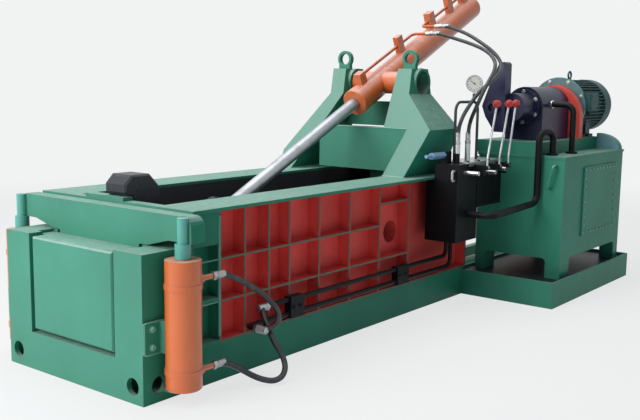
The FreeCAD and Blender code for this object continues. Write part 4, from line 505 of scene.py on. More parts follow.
@dataclass(frozen=True)
class TurnedSteel:
    """Machined steel with fine marks across one axis and smears of oil."""

    name: str
    colour: Colour
    rough: float = 0.24
    across: Axis = Axis.Z
    metal: float = 1.0
    zones: tuple[Zone, ...] = ()

    def build(self) -> bpy.types.Material:
        """The finished material."""
        graph = Graph.painted(self.name)
        pull = [8.0, 8.0, 8.0]
        pull[self.across.value] = 900.0
        marks = graph.noise(1.0, 3.0, 0.6, graph.stretched(tuple(pull)))
        smear = graph.noise(12.0, 4.0)
        dull = tuple(0.72 * part for part in self.colour)
        tone = graph.blended(graph.ramp(smear, ((0.4, 0.0), (0.68, 1.0))), self.colour, dull)
        rough = self.rough + marks * 0.12 + smear * 0.08
        Coat(graph, tone, rough, self.metal).zoned(self.zones).spray()
        graph.feed("Normal", graph.bump(marks, 0.14, 0.0003))
        return graph.owner


@dataclass(frozen=True)
class Rubber:
    """Smooth hose cover with fabric marks and a film of dust."""

    name: str
    colour: Colour

    def build(self) -> bpy.types.Material:
        """The finished material."""
        graph = Graph.painted(self.name)
        film = graph.noise(22.0, 4.0, 0.6)
        grain = graph.noise(420.0, 2.0)
        pale = tuple(0.6 * part + 0.05 for part in self.colour)
        dusted = graph.ramp(film, ((0.45, 0.0), (0.72, 1.0)))
        graph.feed("Base Color", graph.blended(dusted, self.colour, pale))
        graph.feed("Roughness", 0.26 + film * 0.2)
        graph.feed("Normal", graph.bump(grain, 0.3, 0.0004))
        return graph.owner


SILVER: Colour = (0.52, 0.55, 0.57)
LEAF_PAINT: Colour = (0.034, 0.262, 0.172)
DEEP_PAINT: Colour = (0.024, 0.205, 0.132)
KNOB_RED: Colour = (0.55, 0.020, 0.016)


def black(name: str, *zones: Zone) -> Enamel:
    """Thin black enamel of pipes and valves, which takes hardly any dust or painted sheen."""
    return Enamel(
        name, (0.007, 0.008, 0.010), (0.004, 0.005, 0.006), (0.07, 0.07, 0.07),
        wear=0.3, dust_and_sheen=0.03, painted_front_sheen=0.0, painted_sky_sheen=0.02, zones=zones,
    )


def green(name: str, *zones: Zone) -> Enamel:
    """The frame's green enamel."""
    return Enamel(name, LEAF_PAINT, DEEP_PAINT, zones=zones)


def over(z: float, colour: Colour) -> tuple[Zone]:
    """One smooth zone above a height."""
    return (Zone(colour, (-FAR_AWAY, -FAR_AWAY, z), rough=0.22),)


def bright(low: Point, high: Point, rough: float = 0.25) -> Zone:
    """Zone of bright metal between two corners."""
    return Zone(SILVER, low, high, rough, 0.9)


def before(x: float, colour: Colour) -> Zone:
    """Zone on the gate's side of a place along the machine."""
    return Zone(colour, high=(x, FAR_AWAY, FAR_AWAY))


class Finish(Enum):
    """The finishes of the machine, by a plain name."""

    GREEN = green("green_enamel")
    SEAM = Enamel(
        "seam_enamel", (0.13, 0.42, 0.34), (0.07, 0.31, 0.23),
        gloss=0.25, wear=0.1, edge=0.001, shine=0.5, dust_and_sheen=0.3,
    )
    TRAY = green(
        "plinth_enamel",
        # Painted shade: the tray's floor under the tank is near black, where the tank's shade
        # falls.
        Zone((0.010, 0.016, 0.022), (2.813, -1.141, 0.100), (4.142, -0.453, 0.1504), 0.42),
    )
    HOOD = green("hood_enamel", before(3.986, (0.20, 0.42, 0.47)))
    RED_RIBS = RibEnamel(
        "ribbed_wall_enamel", (0.80, 0.098, 0.086), (0.60, 0.070, 0.062), (0.15, 0.14, 0.10),
        (before(0.4705, LEAF_PAINT),),
    )
    # Painted highlight: a large share of pale tone on faces that look up gives the cylinders' upper
    # sides a cream highlight.
    ORANGE = Enamel(
        "orange_enamel", (0.70, 0.165, 0.040), (0.58, 0.118, 0.026),
        wear=0.4, edge=0.003, coat=0.5, shine=0.5, dust_and_sheen=0.85, painted_front_sheen=0.0, painted_sky_sheen=0.0,
    )
    LID_PIPES = Enamel(
        "pipe_enamel", (0.64, 0.150, 0.042), (0.52, 0.108, 0.028),
        wear=0.3, edge=0.002, painted_front_sheen=0.0, painted_sky_sheen=0.0,
        zones=(Zone(SILVER, high=(FAR_AWAY, -0.109, FAR_AWAY), rough=0.28, metal=0.9),),
    )
    ARCH_RED = Enamel(
        "arch_enamel", (0.80, 0.075, 0.045), (0.66, 0.052, 0.032), shine=0.4, dust_and_sheen=0.1, painted_sky_sheen=0.05,
    )
    PUMP_BLUE = Enamel(
        "pump_enamel", (0.013, 0.016, 0.066), (0.006, 0.008, 0.030),
        gloss=0.30, dust_and_sheen=0.10, shine=0.3, painted_front_sheen=0.0, painted_sky_sheen=0.1,
        zones=(bright((3.31, -0.86, 1.25), (3.38, -0.8485, 1.32), 0.3),),
    )
    TEAL = Enamel(
        "motor_enamel", (0.050, 0.135, 0.135), (0.034, 0.098, 0.100), gloss=0.42, dust_and_sheen=0.35,
        zones=(before(3.7845, (0.13, 0.27, 0.27)),),
    )
    BLACK = black("black_enamel")
    CABINET = black(
        "cabinet_enamel",
        bright((2.36, -0.83, 0.85), (2.41, -0.7215, 0.89)),
        bright((2.39, -0.67, 0.985), (2.43, -0.63, FAR_AWAY), 0.28),
    )
    VALVES = black(
        "valve_enamel",
        Zone(SILVER, (-FAR_AWAY, -0.7145, 0.9052), rough=0.34, metal=0.75),
        bright((2.59, -0.83, 0.84), (2.63, -0.7215, 0.89)),
        bright((2.73, -0.83, 0.85), (2.764, -0.7215, 0.90)),
    )
    CARTRIDGE = Enamel(
        "cartridge_zinc", (0.20, 0.40, 0.62), (0.15, 0.32, 0.52), gloss=0.28, coat=0.6, dust_and_sheen=0.0,
    )
    LINER = WearSteel("wear_plate", (0.018, 0.018, 0.021), (0.17, 0.17, 0.18))
    NOSE = WearSteel("black_nose", (0.020, 0.022, 0.030), (0.20, 0.215, 0.25), Axis.Y, 0.38)
    ROD = TurnedSteel("polished_rod", (0.40, 0.42, 0.45), 0.36)
    GATE_ROD = TurnedSteel(
        "gate_rod", (0.46, 0.48, 0.51), 0.30, zones=over(0.6505, (0.10, 0.40, 0.34)),
    )
    BARE = TurnedSteel("bare_steel", (0.44, 0.45, 0.47), 0.32, Axis.X)
    LEVER = TurnedSteel("lever_steel", (0.50, 0.52, 0.54), 0.30, zones=over(1.2662, KNOB_RED))
    GAUGE = TurnedSteel(
        "gauge_case", (0.55, 0.57, 0.58), 0.26,
        zones=(Zone((0.012, 0.013, 0.015), high=(FAR_AWAY, FAR_AWAY, 1.352), rough=0.4),),
    )
    # Partly painted shade: the bushes and the hinge shaft are a dark grease brown so that the
    # bearing holes read as deep and shaded.
    GREASE_AND_SHADE = TurnedSteel("grease_and_painted_shade", (0.10, 0.09, 0.08), 0.42, Axis.Y)
    DIAL = Rubber("dial_face", (0.66, 0.66, 0.60))
    INK = Rubber("dial_ink", (0.010, 0.010, 0.011))
    HOSE = Rubber("hose_cover", (0.013, 0.021, 0.023))


class Paintshop:
    """Makes each finish once and puts it on nodes and pieces."""

    def __init__(self) -> None:
        """Start with no material made."""
        self.made: dict[str, bpy.types.Material] = {}

    def material(self, finish: Finish) -> bpy.types.Material:
        """The material of a finish, made on its first use."""
        if finish.name not in self.made:
            self.made[finish.name] = finish.value.build()
        return self.made[finish.name]

    def node(self, name: str, finish: Finish) -> None:
        """Put a finish on a carried-over node.

        Args:
            name: The node's name.
            finish: What it is finished in.
        """
        for slot in frame["nodes"][name].material_slots:
            slot.link = "OBJECT"
            slot.material = self.material(finish)

    def coat(self, obj: bpy.types.Object, finish: Finish) -> None:
        """Put a finish on a new object."""
        obj.data.materials.clear()
        obj.data.materials.append(self.material(finish))

    def piece(
        self, name: str, sketch: "Sketch", finish: Finish, slot: str, body: str = "frame",
    ) -> bpy.types.Object:
        """Make a dressed piece that rides on a body.

        Args:
            name: The piece's name.
            sketch: Its forms, in the row frame.
            finish: What it is finished in.
            slot: Name of a material slot; not used.
            body: The body it rides on.

        Returns:
            The new object.
        """
        data = bpy.data.meshes.new(name)
        data.from_pydata(sketch.corners, [], sketch.faces)
        data.shade_smooth()
        data.set_sharp_from_angle(angle=CREASE)
        obj = linked(name, data)
        self.coat(obj, finish)
        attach(obj, body)
        LOG.info("piece %s on %s", name, body)
        return obj


# Mesh work ----------
HEXAGON = 6
CRIMPS = 5                  # rings pressed into a hose end
CRIMP_PITCH = 0.008
WELD_STEP = 0.0045          # between the rows of a weld bead
CREASE = math.radians(32.0)     # sharper edges stay sharp


def aimed(at: Sequence[float], along: Sequence[float], turn: float = 0.0) -> Matrix:
    """Placement that puts a form's zero at a place and its Z along a direction."""
    twist = Vector(along).to_track_quat("Z", "Y").to_matrix().to_4x4()
    return Matrix.Translation(Vector(at)) @ twist @ Matrix.Rotation(turn, 4, "Z")


class Sketch:
    """Corners and faces of one piece, gathered from its forms."""

    def __init__(self) -> None:
        """Start empty."""
        self.corners: list[Vector] = []
        self.faces: list[tuple[int, ...]] = []

    def turned(self, profile: Sequence[Pair], matrix: Matrix, steps: int = 20) -> None:
        """Add a closed turned form.

        Args:
            profile: Pairs of radius and height, from the foot to the top.
            matrix: Its placement.
            steps: Corners round the axis; six make a hexagon.
        """
        first = len(self.corners)
        for radius, height in profile:
            for step in range(steps):
                turn = 2 * math.pi * step / steps
                corner = Vector((radius * math.cos(turn), radius * math.sin(turn), height))
                self.corners.append(matrix @ corner)
        self._skin(first, steps, len(profile))

    def _skin(self, first: int, steps: int, rows: int) -> None:
        """Join rows of corners by faces, and close both ends.

        Args:
            first: Number of the first corner.
            steps: Corners in a row.
            rows: How many rows.
        """
        for low in range(first, first + (rows - 1) * steps, steps):
            for step in range(steps):
                beside, high = (step + 1) % steps, low + steps
                self.faces.append((low + step, low + beside, high + beside, high + step))
        top = first + (rows - 1) * steps
        self.faces.append(tuple(reversed(range(first, first + steps))))
        self.faces.append(tuple(range(top, top + steps)))

    def plate(
        self, outline: Sequence[Pair], thick: float, matrix: Matrix, chamfer: float = 0.0,
    ) -> None:
        """Add a flat plate with a chamfered upper edge.

        Args:
            outline: Its corners, anticlockwise.
            thick: Its thickness along the form's Z.
            matrix: Its placement.
            chamfer: How far the top face stands in.
        """
        first = len(self.corners)
        count = len(outline)
        middle = Vector((sum(x for x, _ in outline) / count, sum(y for _, y in outline) / count))
        for inset, height in ((0.0, 0.0), (0.0, thick - chamfer), (chamfer, thick)):
            for corner in outline:
                away = Vector(corner) - middle
                drawn = middle + away * (1.0 - inset / max(away.length, inset + 1e-6))
                self.corners.append(matrix @ Vector((drawn.x, drawn.y, height)))
        self._skin(first, count, 3)

    def bolt(
        self, at: Sequence[float], along: Sequence[float], size: float, turn: float = 0.0,
    ) -> None:
        """Add a washer and a chamfered hexagon head with a domed top.

        Args:
            at: Middle of the washer's underside.
            along: Where the head points.
            size: Half width of the head over its corners.
            turn: Turn of the head, in radians.
        """
        matrix = aimed(at, along, turn)
        washer = ((1.32, 0.0), (1.32, 0.16), (1.22, 0.24))
        head = ((1.0, 0.2), (1.0, 0.78), (0.90, 0.92), (0.4, 0.97))
        for form, steps in ((washer, 20), (head, HEXAGON)):
            self.turned([(radius * size, height * size) for radius, height in form], matrix, steps)

    def ferrule(self, at: Sequence[float], along: Sequence[float], bore: float) -> None:
        """Add a hose end: a hexagon nut, a collar and a crimped sleeve.

        Args:
            at: Where the nut seats.
            along: Where the hose leaves.
            bore: The hose's radius.
        """
        matrix = aimed(at, along)
        nut = ((1.36 * bore, 0.0), (1.5 * bore, 0.002), (1.5 * bore, 0.020), (1.36 * bore, 0.022))
        self.turned(nut, matrix, HEXAGON)
        wide, waist = 1.34 * bore, 1.24 * bore
        sleeve = [(1.12 * bore, 0.020), (1.12 * bore, 0.026), (wide, 0.028)]
        for crimp in range(CRIMPS):
            start = 0.031 + crimp * CRIMP_PITCH
            sleeve += [(wide, start), (waist, start + 0.0015), (waist, start + 0.004)]
            sleeve.append((wide, start + 0.0055))
        sleeve += [(1.30 * bore, 0.073), (1.02 * bore, 0.075)]
        self.turned(sleeve, matrix, 24)

    def weld(self, start: Sequence[float], end: Sequence[float], radius: float) -> None:
        """Add a rippled bead of weld between two points.

        Args:
            start: One end.
            end: The other.
            radius: Half thickness of the bead.
        """
        run = Vector(end) - Vector(start)
        count = max(4, int(run.length / WELD_STEP))
        profile = [(0.3 * radius, 0.0)]
        for step in range(1, count):
            swell = 0.80 + 0.20 * abs(math.sin(step * math.pi / 2.0 + 0.4))
            profile.append((radius * swell, run.length * step / count))
        profile.append((0.3 * radius, run.length))
        self.turned(profile, aimed(start, run), 8)

    def welded(self, corners: Sequence[Sequence[float]], radius: float) -> None:
        """Add beads of weld along a row of corners."""
        for start, end in zip(corners, corners[1:]):
            self.weld(start, end, radius)


# Hoses ----------
ROUTES = {      # corner points in the machine's own frame, in millimetres
    "gate_hose_upper": (
        (326, -595, 545), (372, -595, 545), (430, -600, 531), (477, -604, 510), (523, -608, 486),
        (566, -612, 460), (608, -616, 432), (648, -623, 401), (682, -636, 366), (706, -656, 326),
        (704, -672, 281), (680, -658, 245), (640, -621, 232), (640, -572, 232),
    ),
    "gate_hose_lower": (
        (326, -595, 130), (372, -595, 130), (425, -608, 115), (460, -624, 94), (493, -646, 67),
        (520, -677, 44), (549, -711, 28), (583, -743, 20), (624, -760, 33), (655, -754, 67),
        (667, -731, 108), (668, -701, 145), (667, -668, 178), (678, -637, 208), (691, -602, 240),
        (706, -568, 268), (725, -540, 293), (746, -522, 306), (790, -522, 306),
    ),
    "lid_hose_rear": (
        (3001, -145, 1807), (3001, -205, 1807), (2970, -290, 1781), (2941, -376, 1755),
        (2909, -454, 1724), (2878, -531, 1687), (2858, -609, 1644), (2841, -681, 1591),
        (2804, -734, 1529), (2731, -751, 1477), (2650, -752, 1436), (2565, -748, 1403),
        (2489, -735, 1356), (2435, -711, 1287), (2400, -680, 1208), (2410, -650, 1125),
        (2410, -650, 1040),
    ),
    "lid_hose_front": (
        (2883, -145, 1751), (2883, -209, 1751), (2858, -290, 1731), (2826, -379, 1708),
        (2793, -468, 1686), (2762, -554, 1662), (2732, -637, 1633), (2695, -711, 1596),
        (2644, -769, 1546), (2575, -797, 1493), (2504, -801, 1436), (2460, -782, 1360),
        (2464, -744, 1278), (2505, -688, 1205), (2540, -650, 1130), (2540, -650, 1040),
    ),
}


@dataclass(frozen=True)
class HoseRun:
    """One hydraulic hose, from a cylinder to the frame."""

    name: str
    radius: float
    length: float
    swings: bool = False        # its upper end rides on the lid's cylinder

    @property
    def points(self) -> list[Point]:
        """Corner points of its route in the row frame, in metres."""
        return [
            (x / 1000 + MACHINE_X, y / 1000 + MACHINE_Y, z / 1000) for x, y, z in ROUTES[self.name]
        ]

    def curve(self, radius: float) -> bpy.types.Object:
        """Smooth curve of the hose.

        Args:
            radius: Radius of the round section, or 0 for the line alone.

        Returns:
            The curve object.
        """
        data = bpy.data.curves.new(self.name + "_cover", "CURVE")
        data.dimensions = "3D"
        spline = data.splines.new("NURBS")
        spline.points.add(len(self.points) - 1)
        for point, place in zip(spline.points, self.points):
            point.co = (*place, 1.0)
        spline.order_u = 3
        spline.use_endpoint_u = True
        spline.resolution_u = 10
        data.bevel_depth = radius
        data.bevel_resolution = 6
        data.use_fill_caps = radius > 0.0
        return linked(data.name, data)

    def meshed(self, radius: float) -> bpy.types.Mesh:
        """Mesh of the hose's curve.

        Args:
            radius: As for the curve.

        Returns:
            The mesh, without an object.
        """
        curve = self.curve(radius)
        bpy.context.view_layer.update()
        mesh = bpy.data.meshes.new_from_object(curve)
        bpy.data.objects.remove(curve)
        return mesh

    def tube(self) -> bpy.types.Object:
        """The hose as a fixed mesh, for one whose upper end rides on the lid's cylinder."""
        mesh = self.meshed(self.radius)
        mesh.name = self.name + "_cover"
        mesh.shade_smooth()
        return linked(mesh.name, mesh)


@dataclass
class Hoses:
    """The four free hoses of the gate and of the lid's cylinder, with their crimped ends."""

    shop: Paintshop
    gate_radius: float = 0.014
    lid_radius: float = 0.012

    def runs(self) -> list[HoseRun]:
        """The four hoses, with their real lengths."""
        gate, lid = self.gate_radius, self.lid_radius
        return [
            HoseRun("gate_hose_upper", gate, 0.653),
            HoseRun("gate_hose_lower", gate, 0.821),
            HoseRun("lid_hose_rear", lid, 1.412, True),
            HoseRun("lid_hose_front", lid, 1.350, True),
        ]

    def build(self) -> None:
        for run in self.runs():
            ends = self.ferrules(run)
            obj = run.tube() if run.swings else run.curve(run.radius)
            line = run.meshed(0.0).vertices if run.swings else ()
            self.shop.coat(obj, Finish.HOSE)
            if run.swings:
                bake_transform(obj)
            else:
                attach(obj, "frame")
            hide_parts(run.name)
            LOG.info("hose %s", run.name)

    def ferrules(self, run: HoseRun) -> list[bpy.types.Object]:
        """Crimped ends of a hose.

        Args:
            run: The hose.

        Returns:
            The piece at its start and the one at its end.
        """
        made = []
        upper = "lid_barrel" if run.swings else "frame"
        ends = (("start", run.points[:2], upper), ("end", run.points[:-3:-1], "frame"))
        for word, (seat, towards), body in ends:
            sketch = Sketch()
            sketch.ferrule(seat, Vector(towards) - Vector(seat), run.radius)
            name = f"{run.name}_{word}"
            made.append(self.shop.piece(name, sketch, Finish.BARE, "bright_steel", body))
        return made


# Painted nodes ----------
@dataclass
class PaintedNodes:
    """Finishes of the pieces that keep their own shape."""

    shop: Paintshop

    def build(self) -> None:
        """Dress every carried-over node."""
        finishes = {
            Finish.GREEN:
                "base_frame gate_housing top_frame near_pedestal far_pedestal cross_beam"
                " rear_tie_plate rear_cradle gate_slab crosshead_beam oil_tank tank_cover"
                " motor_base",
            Finish.HOOD: "filter_hood",
            Finish.TRAY: "plinth",
            Finish.RED_RIBS: "near_side_wall far_side_wall",
            Finish.ORANGE:
                "near_gate_cylinder far_gate_cylinder lid_cylinder lid_cylinder_gland"
                " main_cylinder",
            Finish.LID_PIPES: "lid_cylinder_pipes",
            Finish.ARCH_RED: "arch_bracket",
            Finish.PUMP_BLUE: "pump_body coupling_guard",
            Finish.TEAL: "motor_body motor_fan_cover",
            Finish.BLACK: "motor_fan drive_coupling suction_pipe return_pipe side_pipes",
            Finish.CABINET: "valve_stand",
            Finish.VALVES: "valve_block",
            Finish.CARTRIDGE: "relief_valve",
            Finish.LINER: "bed_liner near_wall_liner far_wall_liner lid press_head",
            Finish.NOSE: "lid_nose",
            Finish.ROD: "lid_rod ram",
            Finish.GATE_ROD: "near_gate_rod far_gate_rod",
            Finish.LEVER: "front_lever middle_lever rear_lever",
            Finish.GAUGE: "pressure_gauge",
            Finish.BARE: "clevis_pin drive_shaft jumper_pipe",
            Finish.GREASE_AND_SHADE: "trunnion_bushes hinge_bushes lid_hinge_shaft",
        }
        for finish, names in finishes.items():
            for name in names.split():
                self.shop.node(name, finish)
        LOG.info("dressed %d nodes", sum(len(names.split()) for names in finishes.values()))


# Fasteners and seams ----------
@dataclass
class Fasteners:
    """Bolts of the tank's cover, the cylinders, the clamps and the motor set."""

    shop: Paintshop
    cover_x: Pair = (3.320, 3.920)
    cover_z: Pair = (0.400, 0.870)
    cover_face: float = -1.116
    cover_edge: float = 0.022
    cover_rows: tuple[int, int] = (10, 9)
    pad_x: float = 0.045
    pad_z: Pair = (0.262, 0.344)
    pad_face: float = 0.512
    clamp_x: tuple[float, ...] = (0.968, 1.023, 1.965, 2.025)
    clamp_z: float = 0.269
    clamp_face: float = -0.545
    valve_x: tuple[float, ...] = (2.458, 2.600, 2.735, 2.882)
    valve_y: Pair = (-0.700, -0.540)
    valve_top: float = 0.930
    valve_bolt: float = 0.0085
    spool_x: tuple[float, ...] = (2.524, 2.687, 2.812)
    spool_half: float = 0.0345
    set_y: float = -0.712       # axis of the pump and the motor
    set_z: float = 1.265
    box_x: float = 3.866        # middle of the terminal box's lid
    box_face: float = -0.940
    box_half: Pair = (0.069, 0.060)
    box_lid_t: float = 0.008
    screw_half: Pair = (0.056, 0.047)

    def build(self) -> None:
        """Make every group of bolts."""
        self.shop.piece("tank_cover_bolts", self.cover(), Finish.SEAM, "green_paint")
        self.shop.piece("bracket_bolts", self.brackets(), Finish.SEAM, "green_paint")
        self.shop.piece("clamp_bolts", self.clamps(), Finish.BLACK, "black_paint")
        main = self.ring(2.930, (0.0, 0.325), 0.165, 10, 0.015, 1.0)
        self.shop.piece("main_flange_bolts", main, Finish.BLACK, "black_paint")
        for name, x, radius, count in (("pump", 3.178, 0.103, 6), ("motor", 3.760, 0.185, 8)):
            flange = self.ring(x, (self.set_y, self.set_z), radius, count, 0.011, -1.0)
            self.shop.piece(f"{name}_flange_bolts", flange, Finish.BARE, "bright_steel")
        self.shop.piece("valve_bolts", self.valves(), Finish.BLACK, "black_paint")
        self.shop.piece("terminal_box_lid", self.box_lid(), Finish.TEAL, "teal_paint")

    def cover(self) -> Sketch:
        """Bolts round the edge of the tank's cover."""
        sketch = Sketch()
        low_x, high_x = self.cover_x[0] + self.cover_edge, self.cover_x[1] - self.cover_edge
        low_z, high_z = self.cover_z[0] + self.cover_edge, self.cover_z[1] - self.cover_edge
        across, up = (rows - 1 for rows in self.cover_rows)
        places = [
            (low_x + (high_x - low_x) * step / across, z)
            for step in range(across + 1) for z in (low_z, high_z)
        ]
        places += [
            (x, low_z + (high_z - low_z) * step / up)
            for step in range(1, up) for x in (low_x, high_x)
        ]
        for count, (x, z) in enumerate(places):
            sketch.bolt(placed(x, self.cover_face, z), (0, -1, 0), 0.0075, count * 0.37)
        return sketch

    def brackets(self) -> Sketch:
        """Bolts of the gate cylinders' brackets."""
        sketch = Sketch()
        for side in (-1, 1):
            for z in self.pad_z:
                sketch.bolt(placed(self.pad_x, side * self.pad_face, z), (0, side, 0), 0.013, z * 3)
        return sketch

    def clamps(self) -> Sketch:
        """Bolts of the pipe clamps on the near side wall."""
        sketch = Sketch()
        for x in self.clamp_x:
            sketch.bolt(placed(x, self.clamp_face, self.clamp_z), (0, -1, 0), 0.010, x)
        return sketch

    def valves(self) -> Sketch:
        """Bolts and hexagon plugs of the valve block and its cabinet."""
        sketch = Sketch()
        for x in self.valve_x:
            for y in self.valve_y:
                sketch.bolt(placed(x, y, self.valve_top), (0, 0, 1), self.valve_bolt, x * 7)
        for x in self.spool_x:
            for side in (-1, 1):
                at = placed(x + side * self.spool_half, -0.7205, 0.835)
                sketch.bolt(at, (0, -1, 0), self.valve_bolt, x * 11)
        return sketch

    @staticmethod
    def ring(
        x: float, centre: Pair, radius: float, count: int, size: float, side: float,
    ) -> Sketch:
        """Ring of bolts that point along the machine.

        Args:
            x: Place of the flange's face.
            centre: Y and Z of the ring's middle.
            radius: Radius of the ring.
            count: How many bolts.
            size: Half width of a head.
            side: 1 where they point to the rear, -1 where they point to the gate.

        Returns:
            The sketch.
        """
        sketch = Sketch()
        for step in range(count):
            turn = 2 * math.pi * (step + 0.5) / count
            y = centre[0] + radius * math.cos(turn)
            z = centre[1] + radius * math.sin(turn)
            sketch.bolt(placed(x, y, z), (side, 0, 0), size, step * 0.5)
        return sketch

    def box_lid(self) -> Sketch:
        """Lid of the motor's terminal box, with its screws and the cable's gland."""
        sketch = Sketch()
        middle = placed(self.box_x, self.box_face, 1.297)
        wide, high = self.box_half
        outline = [(-wide, -high), (wide, -high), (wide, high), (-wide, high)]
        sketch.plate(outline, self.box_lid_t, aimed(middle, (0, -1, 0)), 0.003)
        for x in (-self.screw_half[0], self.screw_half[0]):
            for z in (-self.screw_half[1], self.screw_half[1]):
                sketch.bolt(middle + Vector((x, -self.box_lid_t, z)), (0, -1, 0), 0.0065, x * 9)
        gland = ((0.017, -0.004), (0.017, 0.014), (0.013, 0.018), (0.013, 0.028), (0.008, 0.031))
        sketch.turned(gland, aimed(placed(self.box_x, -0.905, 1.232), (0, 0, -1)), 8)
        return sketch


@dataclass
class Seams:
    """Weld beads where the pedestals, the cross beam and the brackets meet the frame."""

    shop: Paintshop
    bead: float = 0.0055
    rail: float = 0.840
    foot_x: Pair = (2.107, 2.590)
    bearing: Pair = (2.490, 1.415)      # x and z of the trunnions
    rim: float = 0.092
    rim_steps: int = 28
    wall: float = 0.500
    plates: Pair = (0.231, 0.375)       # lower and upper edge of a bracket

    def build(self) -> None:
        """Make the beads, in the paler seam enamel."""
        for name, sketch in (
            ("pedestal", self.pedestals()), ("beam", self.beam()),
            ("bracket", self.brackets()), ("rib", self.ribs()),
        ):
            self.shop.piece(f"{name}_seams", sketch, Finish.SEAM, "green_paint")

    def pedestals(self) -> Sketch:
        """Beads round the pedestals' feet and the bearings' rims."""
        sketch = Sketch()
        front, rear = self.foot_x
        for inner, outer in ((-0.296, -0.453), (0.440, 0.548)):
            corners = ((rear, inner), (front, inner), (front, outer), (rear, outer))
            sketch.welded([placed(x, y, self.rail + 0.001) for x, y in corners], self.bead)
        x, z = self.bearing
        turns = [2 * math.pi * step / self.rim_steps for step in range(self.rim_steps + 1)]
        for y in (-0.3185, 0.2945):
            places = [
                placed(x + self.rim * math.cos(turn), y, z + self.rim * math.sin(turn))
                for turn in turns
            ]
            sketch.welded(places, 0.004)
        return sketch

    def beam(self) -> Sketch:
        """Beads where the cross beam meets the near pedestal's leg."""
        sketch = Sketch()
        sketch.weld(placed(2.231, -0.3035, 0.862), placed(2.231, -0.390, 1.128), self.bead)
        sketch.weld(placed(2.231, -0.390, 1.131), placed(2.231, 0.286, 1.131), 0.003)
        return sketch

    def ribs(self) -> Sketch:
        """Beads down the first rib and along the shelves of the end bays."""
        sketch = Sketch()
        for y in (-self.wall, self.wall):
            sketch.weld(placed(0.4685, y, 0.216), placed(0.4685, y, 0.795), 0.0075)
            for z in (0.385, 0.587):
                sketch.weld(placed(0.284, y, z), placed(0.4625, y, z), 0.0045)
        return sketch

    def brackets(self) -> Sketch:
        """Beads along the gate cylinders' brackets and shelves."""
        sketch = Sketch()
        low, high = self.plates
        for side in (-1, 1):
            outer, y = side * 0.5125, side * 0.501
            for z in self.plates:
                sketch.weld(placed(0.004, outer, z), placed(0.231, outer, z), 0.004)
            sketch.weld(placed(0.004, y, low), placed(0.004, y, high), 0.004)
            sketch.weld(placed(0.106, y, 0.069), placed(0.196, y, 0.069), 0.005)
        return sketch


@dataclass
class Dial:
    """Face of the pressure gauge: a pale disc with generic ticks and a needle."""

    shop: Paintshop
    turn: float = 28.0
    centre: Point = (2.690, -0.600, 1.417)
    depth: float = 0.0152       # of the disc before the gauge's middle
    radius: float = 0.0485
    ticks: int = 11
    first_tick: float = -225.0
    tick_step: float = 27.0
    needle_at: float = -215.0

    def build(self) -> None:
        """Make the disc, its ticks and the needle."""
        swing = math.radians(self.turn)
        facing = Vector((-math.cos(swing), -math.sin(swing), 0.0))
        seat = placed(*self.centre) + facing * self.depth
        disc = Sketch()
        disc.turned(((self.radius, 0.0), (self.radius, 0.001)), aimed(seat, facing), 40)
        self.shop.piece("gauge_disc", disc, Finish.DIAL, "gauge_metal")
        ink = Sketch()
        matrix = aimed(seat + facing * 0.001, facing)
        for step in range(self.ticks):
            turn = math.radians(self.first_tick + self.tick_step * step)
            place = Matrix.Rotation(turn, 4, "Z")
            long = 0.011 if step % 2 == 0 else 0.007
            low = 0.044 - long
            tick = [(low, -0.0009), (0.044, -0.0013), (0.044, 0.0013), (low, 0.0009)]
            ink.plate(tick, 0.0006, matrix @ place)
        needle = [(-0.012, -0.002), (0.036, -0.0006), (0.036, 0.0006), (-0.012, 0.002)]
        pointing = Matrix.Rotation(math.radians(self.needle_at), 4, "Z")
        ink.plate(needle, 0.0012, matrix @ pointing)
        ink.turned(((0.005, 0.0), (0.005, 0.0022), (0.003, 0.003)), matrix, 16)
        self.shop.piece("gauge_needle", ink, Finish.INK, "black_paint")


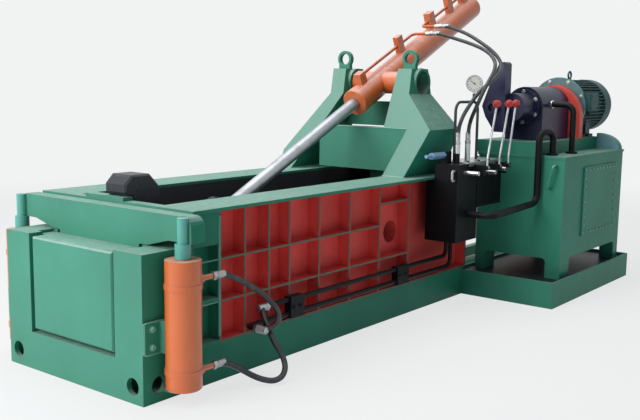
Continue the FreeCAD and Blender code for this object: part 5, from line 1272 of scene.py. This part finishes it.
# Studio ----------
@dataclass
class Studio:
    """Floor, soft lamps and the camera."""

    camera_at: Point = (-4.864, -3.130, 1.4125)
    yaw: float = 38.03
    pitch: float = 8.2255
    roll: float = 0.80
    focal: float = 885.21
    frame_width: float = 640.0
    backdrop: Colour = (0.88, 0.895, 0.895)
    reach: float = 40.0
    fade_at: float = 6.0
    fade_over: float = 5.0
    floor_light: float = 0.80
    sky: float = 0.20

    def build(self) -> None:
        """Set the whole studio up."""
        self.camera()
        self.floor()
        self.world()
        self.lamps()
        bpy.context.scene.view_settings.view_transform = "Standard"
        LOG.info("studio ready")

    def camera(self) -> None:
        """Camera at the viewing angle of the photograph."""
        yaw, pitch, roll = (math.radians(turn) for turn in (self.yaw, self.pitch, self.roll))
        flat = math.cos(pitch)
        look = Vector((flat * math.cos(yaw), flat * math.sin(yaw), -math.sin(pitch)))
        right = Vector((math.sin(yaw), -math.cos(yaw), 0.0))
        up = right.cross(look)
        turned_right = math.cos(roll) * right + math.sin(roll) * up
        turned_up = -math.sin(roll) * right + math.cos(roll) * up
        data = bpy.data.cameras.new("camera")
        data.sensor_width = 36.0
        data.lens = self.focal * data.sensor_width / self.frame_width
        obj = linked("camera", data)
        turn = Matrix((turned_right, turned_up, -look)).transposed().to_4x4()
        obj.matrix_world = Matrix.Translation(self.camera_at) @ turn
        bpy.context.scene.camera = obj

    @staticmethod
    def seen_pale(graph: Graph) -> Value:
        """Mask of the rays that see the backdrop.

        Args:
            graph: The graph that asks.

        Returns:
            1 for the camera's, the reflected and the transmitted rays.
        """
        camera, mirrored, through = (
            graph.node("ShaderNodeLightPath", {}, {}, f"Is {kind} Ray")
            for kind in ("Camera", "Glossy", "Transmission")
        )
        return camera.or_more(mirrored).or_more(through)

    def floor(self) -> None:
        """Plain pale floor that keeps the machine's shadow and fades into the backdrop."""
        mesh = bpy.data.meshes.new("floor")
        turns = ((-1, -1), (1, -1), (1, 1), (-1, 1))
        corners = [(self.reach * x, self.reach * y, 0.0) for x, y in turns]
        mesh.from_pydata(corners, [], [(0, 1, 2, 3)])
        obj = linked("floor", mesh)
        graph = Graph.painted("floor_paint")
        graph.feed("Base Color", self.backdrop)
        graph.feed("Roughness", 0.9)
        pale = graph.node("ShaderNodeEmission", {}, {"Color": (*self.backdrop, 1.0)})
        operation = {"operation": "LENGTH"}
        away = graph.node("ShaderNodeVectorMath", operation, {0: graph.place()}, "Value")
        gain = away.above(self.fade_at, self.fade_over) * (1.0 - self.floor_light)
        mask = (self.floor_light + gain) * self.seen_pale(graph)
        graph.mixed(mask, "Principled BSDF", pale, "Material Output")
        obj.data.materials.append(graph.owner)

    def world(self) -> None:
        """Even sky light, shown as a pale backdrop to the camera and in reflections."""
        graph = Graph(bpy.data.worlds.new("studio"))
        sky = graph.tree.nodes["Background"].inputs
        sky["Color"].default_value = (0.86, 0.92, 1.0, 1.0)
        sky["Strength"].default_value = self.sky
        inputs = {"Color": (*self.backdrop, 1.0), "Strength": 1.0}
        backdrop = graph.node("ShaderNodeBackground", {}, inputs)
        graph.mixed(self.seen_pale(graph), "Background", backdrop, "World Output")
        bpy.context.scene.world = graph.owner

    def lamps(self) -> None:
        """Large soft lamps: one over the gate end, one above, a weak one on the valve side."""
        self.lamp("gate_lamp", (-7.5, 1.6, 3.4), (-1.2, 0.0, 0.6), 5.0, 400.0)
        self.lamp("top_lamp", (-1.2, 1.4, 6.2), (-0.4, 0.2, 0.6), 6.0, 300.0)
        self.lamp("side_lamp", (-2.0, -7.5, 2.6), (-0.6, 0.0, 0.8), 5.0, 6.0)

    @staticmethod
    def lamp(name: str, at: Point, to: Point, size: float, watts: float) -> None:
        """Add a square area lamp.

        Args:
            name: The lamp's name.
            at: Where it hangs.
            to: The point that it faces.
            size: Side of the lamp in metres.
            watts: Its power.
        """
        data = bpy.data.lights.new(name, "AREA")
        data.size = size
        data.energy = watts
        obj = linked(name, data)
        obj.location = at
        obj.rotation_euler = (Vector(to) - Vector(at)).to_track_quat("-Z", "Y").to_euler()


def write_sizes() -> None:
    """Bring the scene's transforms up to date."""
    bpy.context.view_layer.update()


def main() -> None:
    """Build the studio and dress the machine."""
    logging.basicConfig(level=logging.INFO)
    shop = Paintshop()
    Studio().build()
    Hoses(shop).build()
    PaintedNodes(shop).build()
    Fasteners(shop).build()
    Seams(shop).build()
    Dial(shop).build()
    write_sizes()


if __name__ == "__main__":
    main()
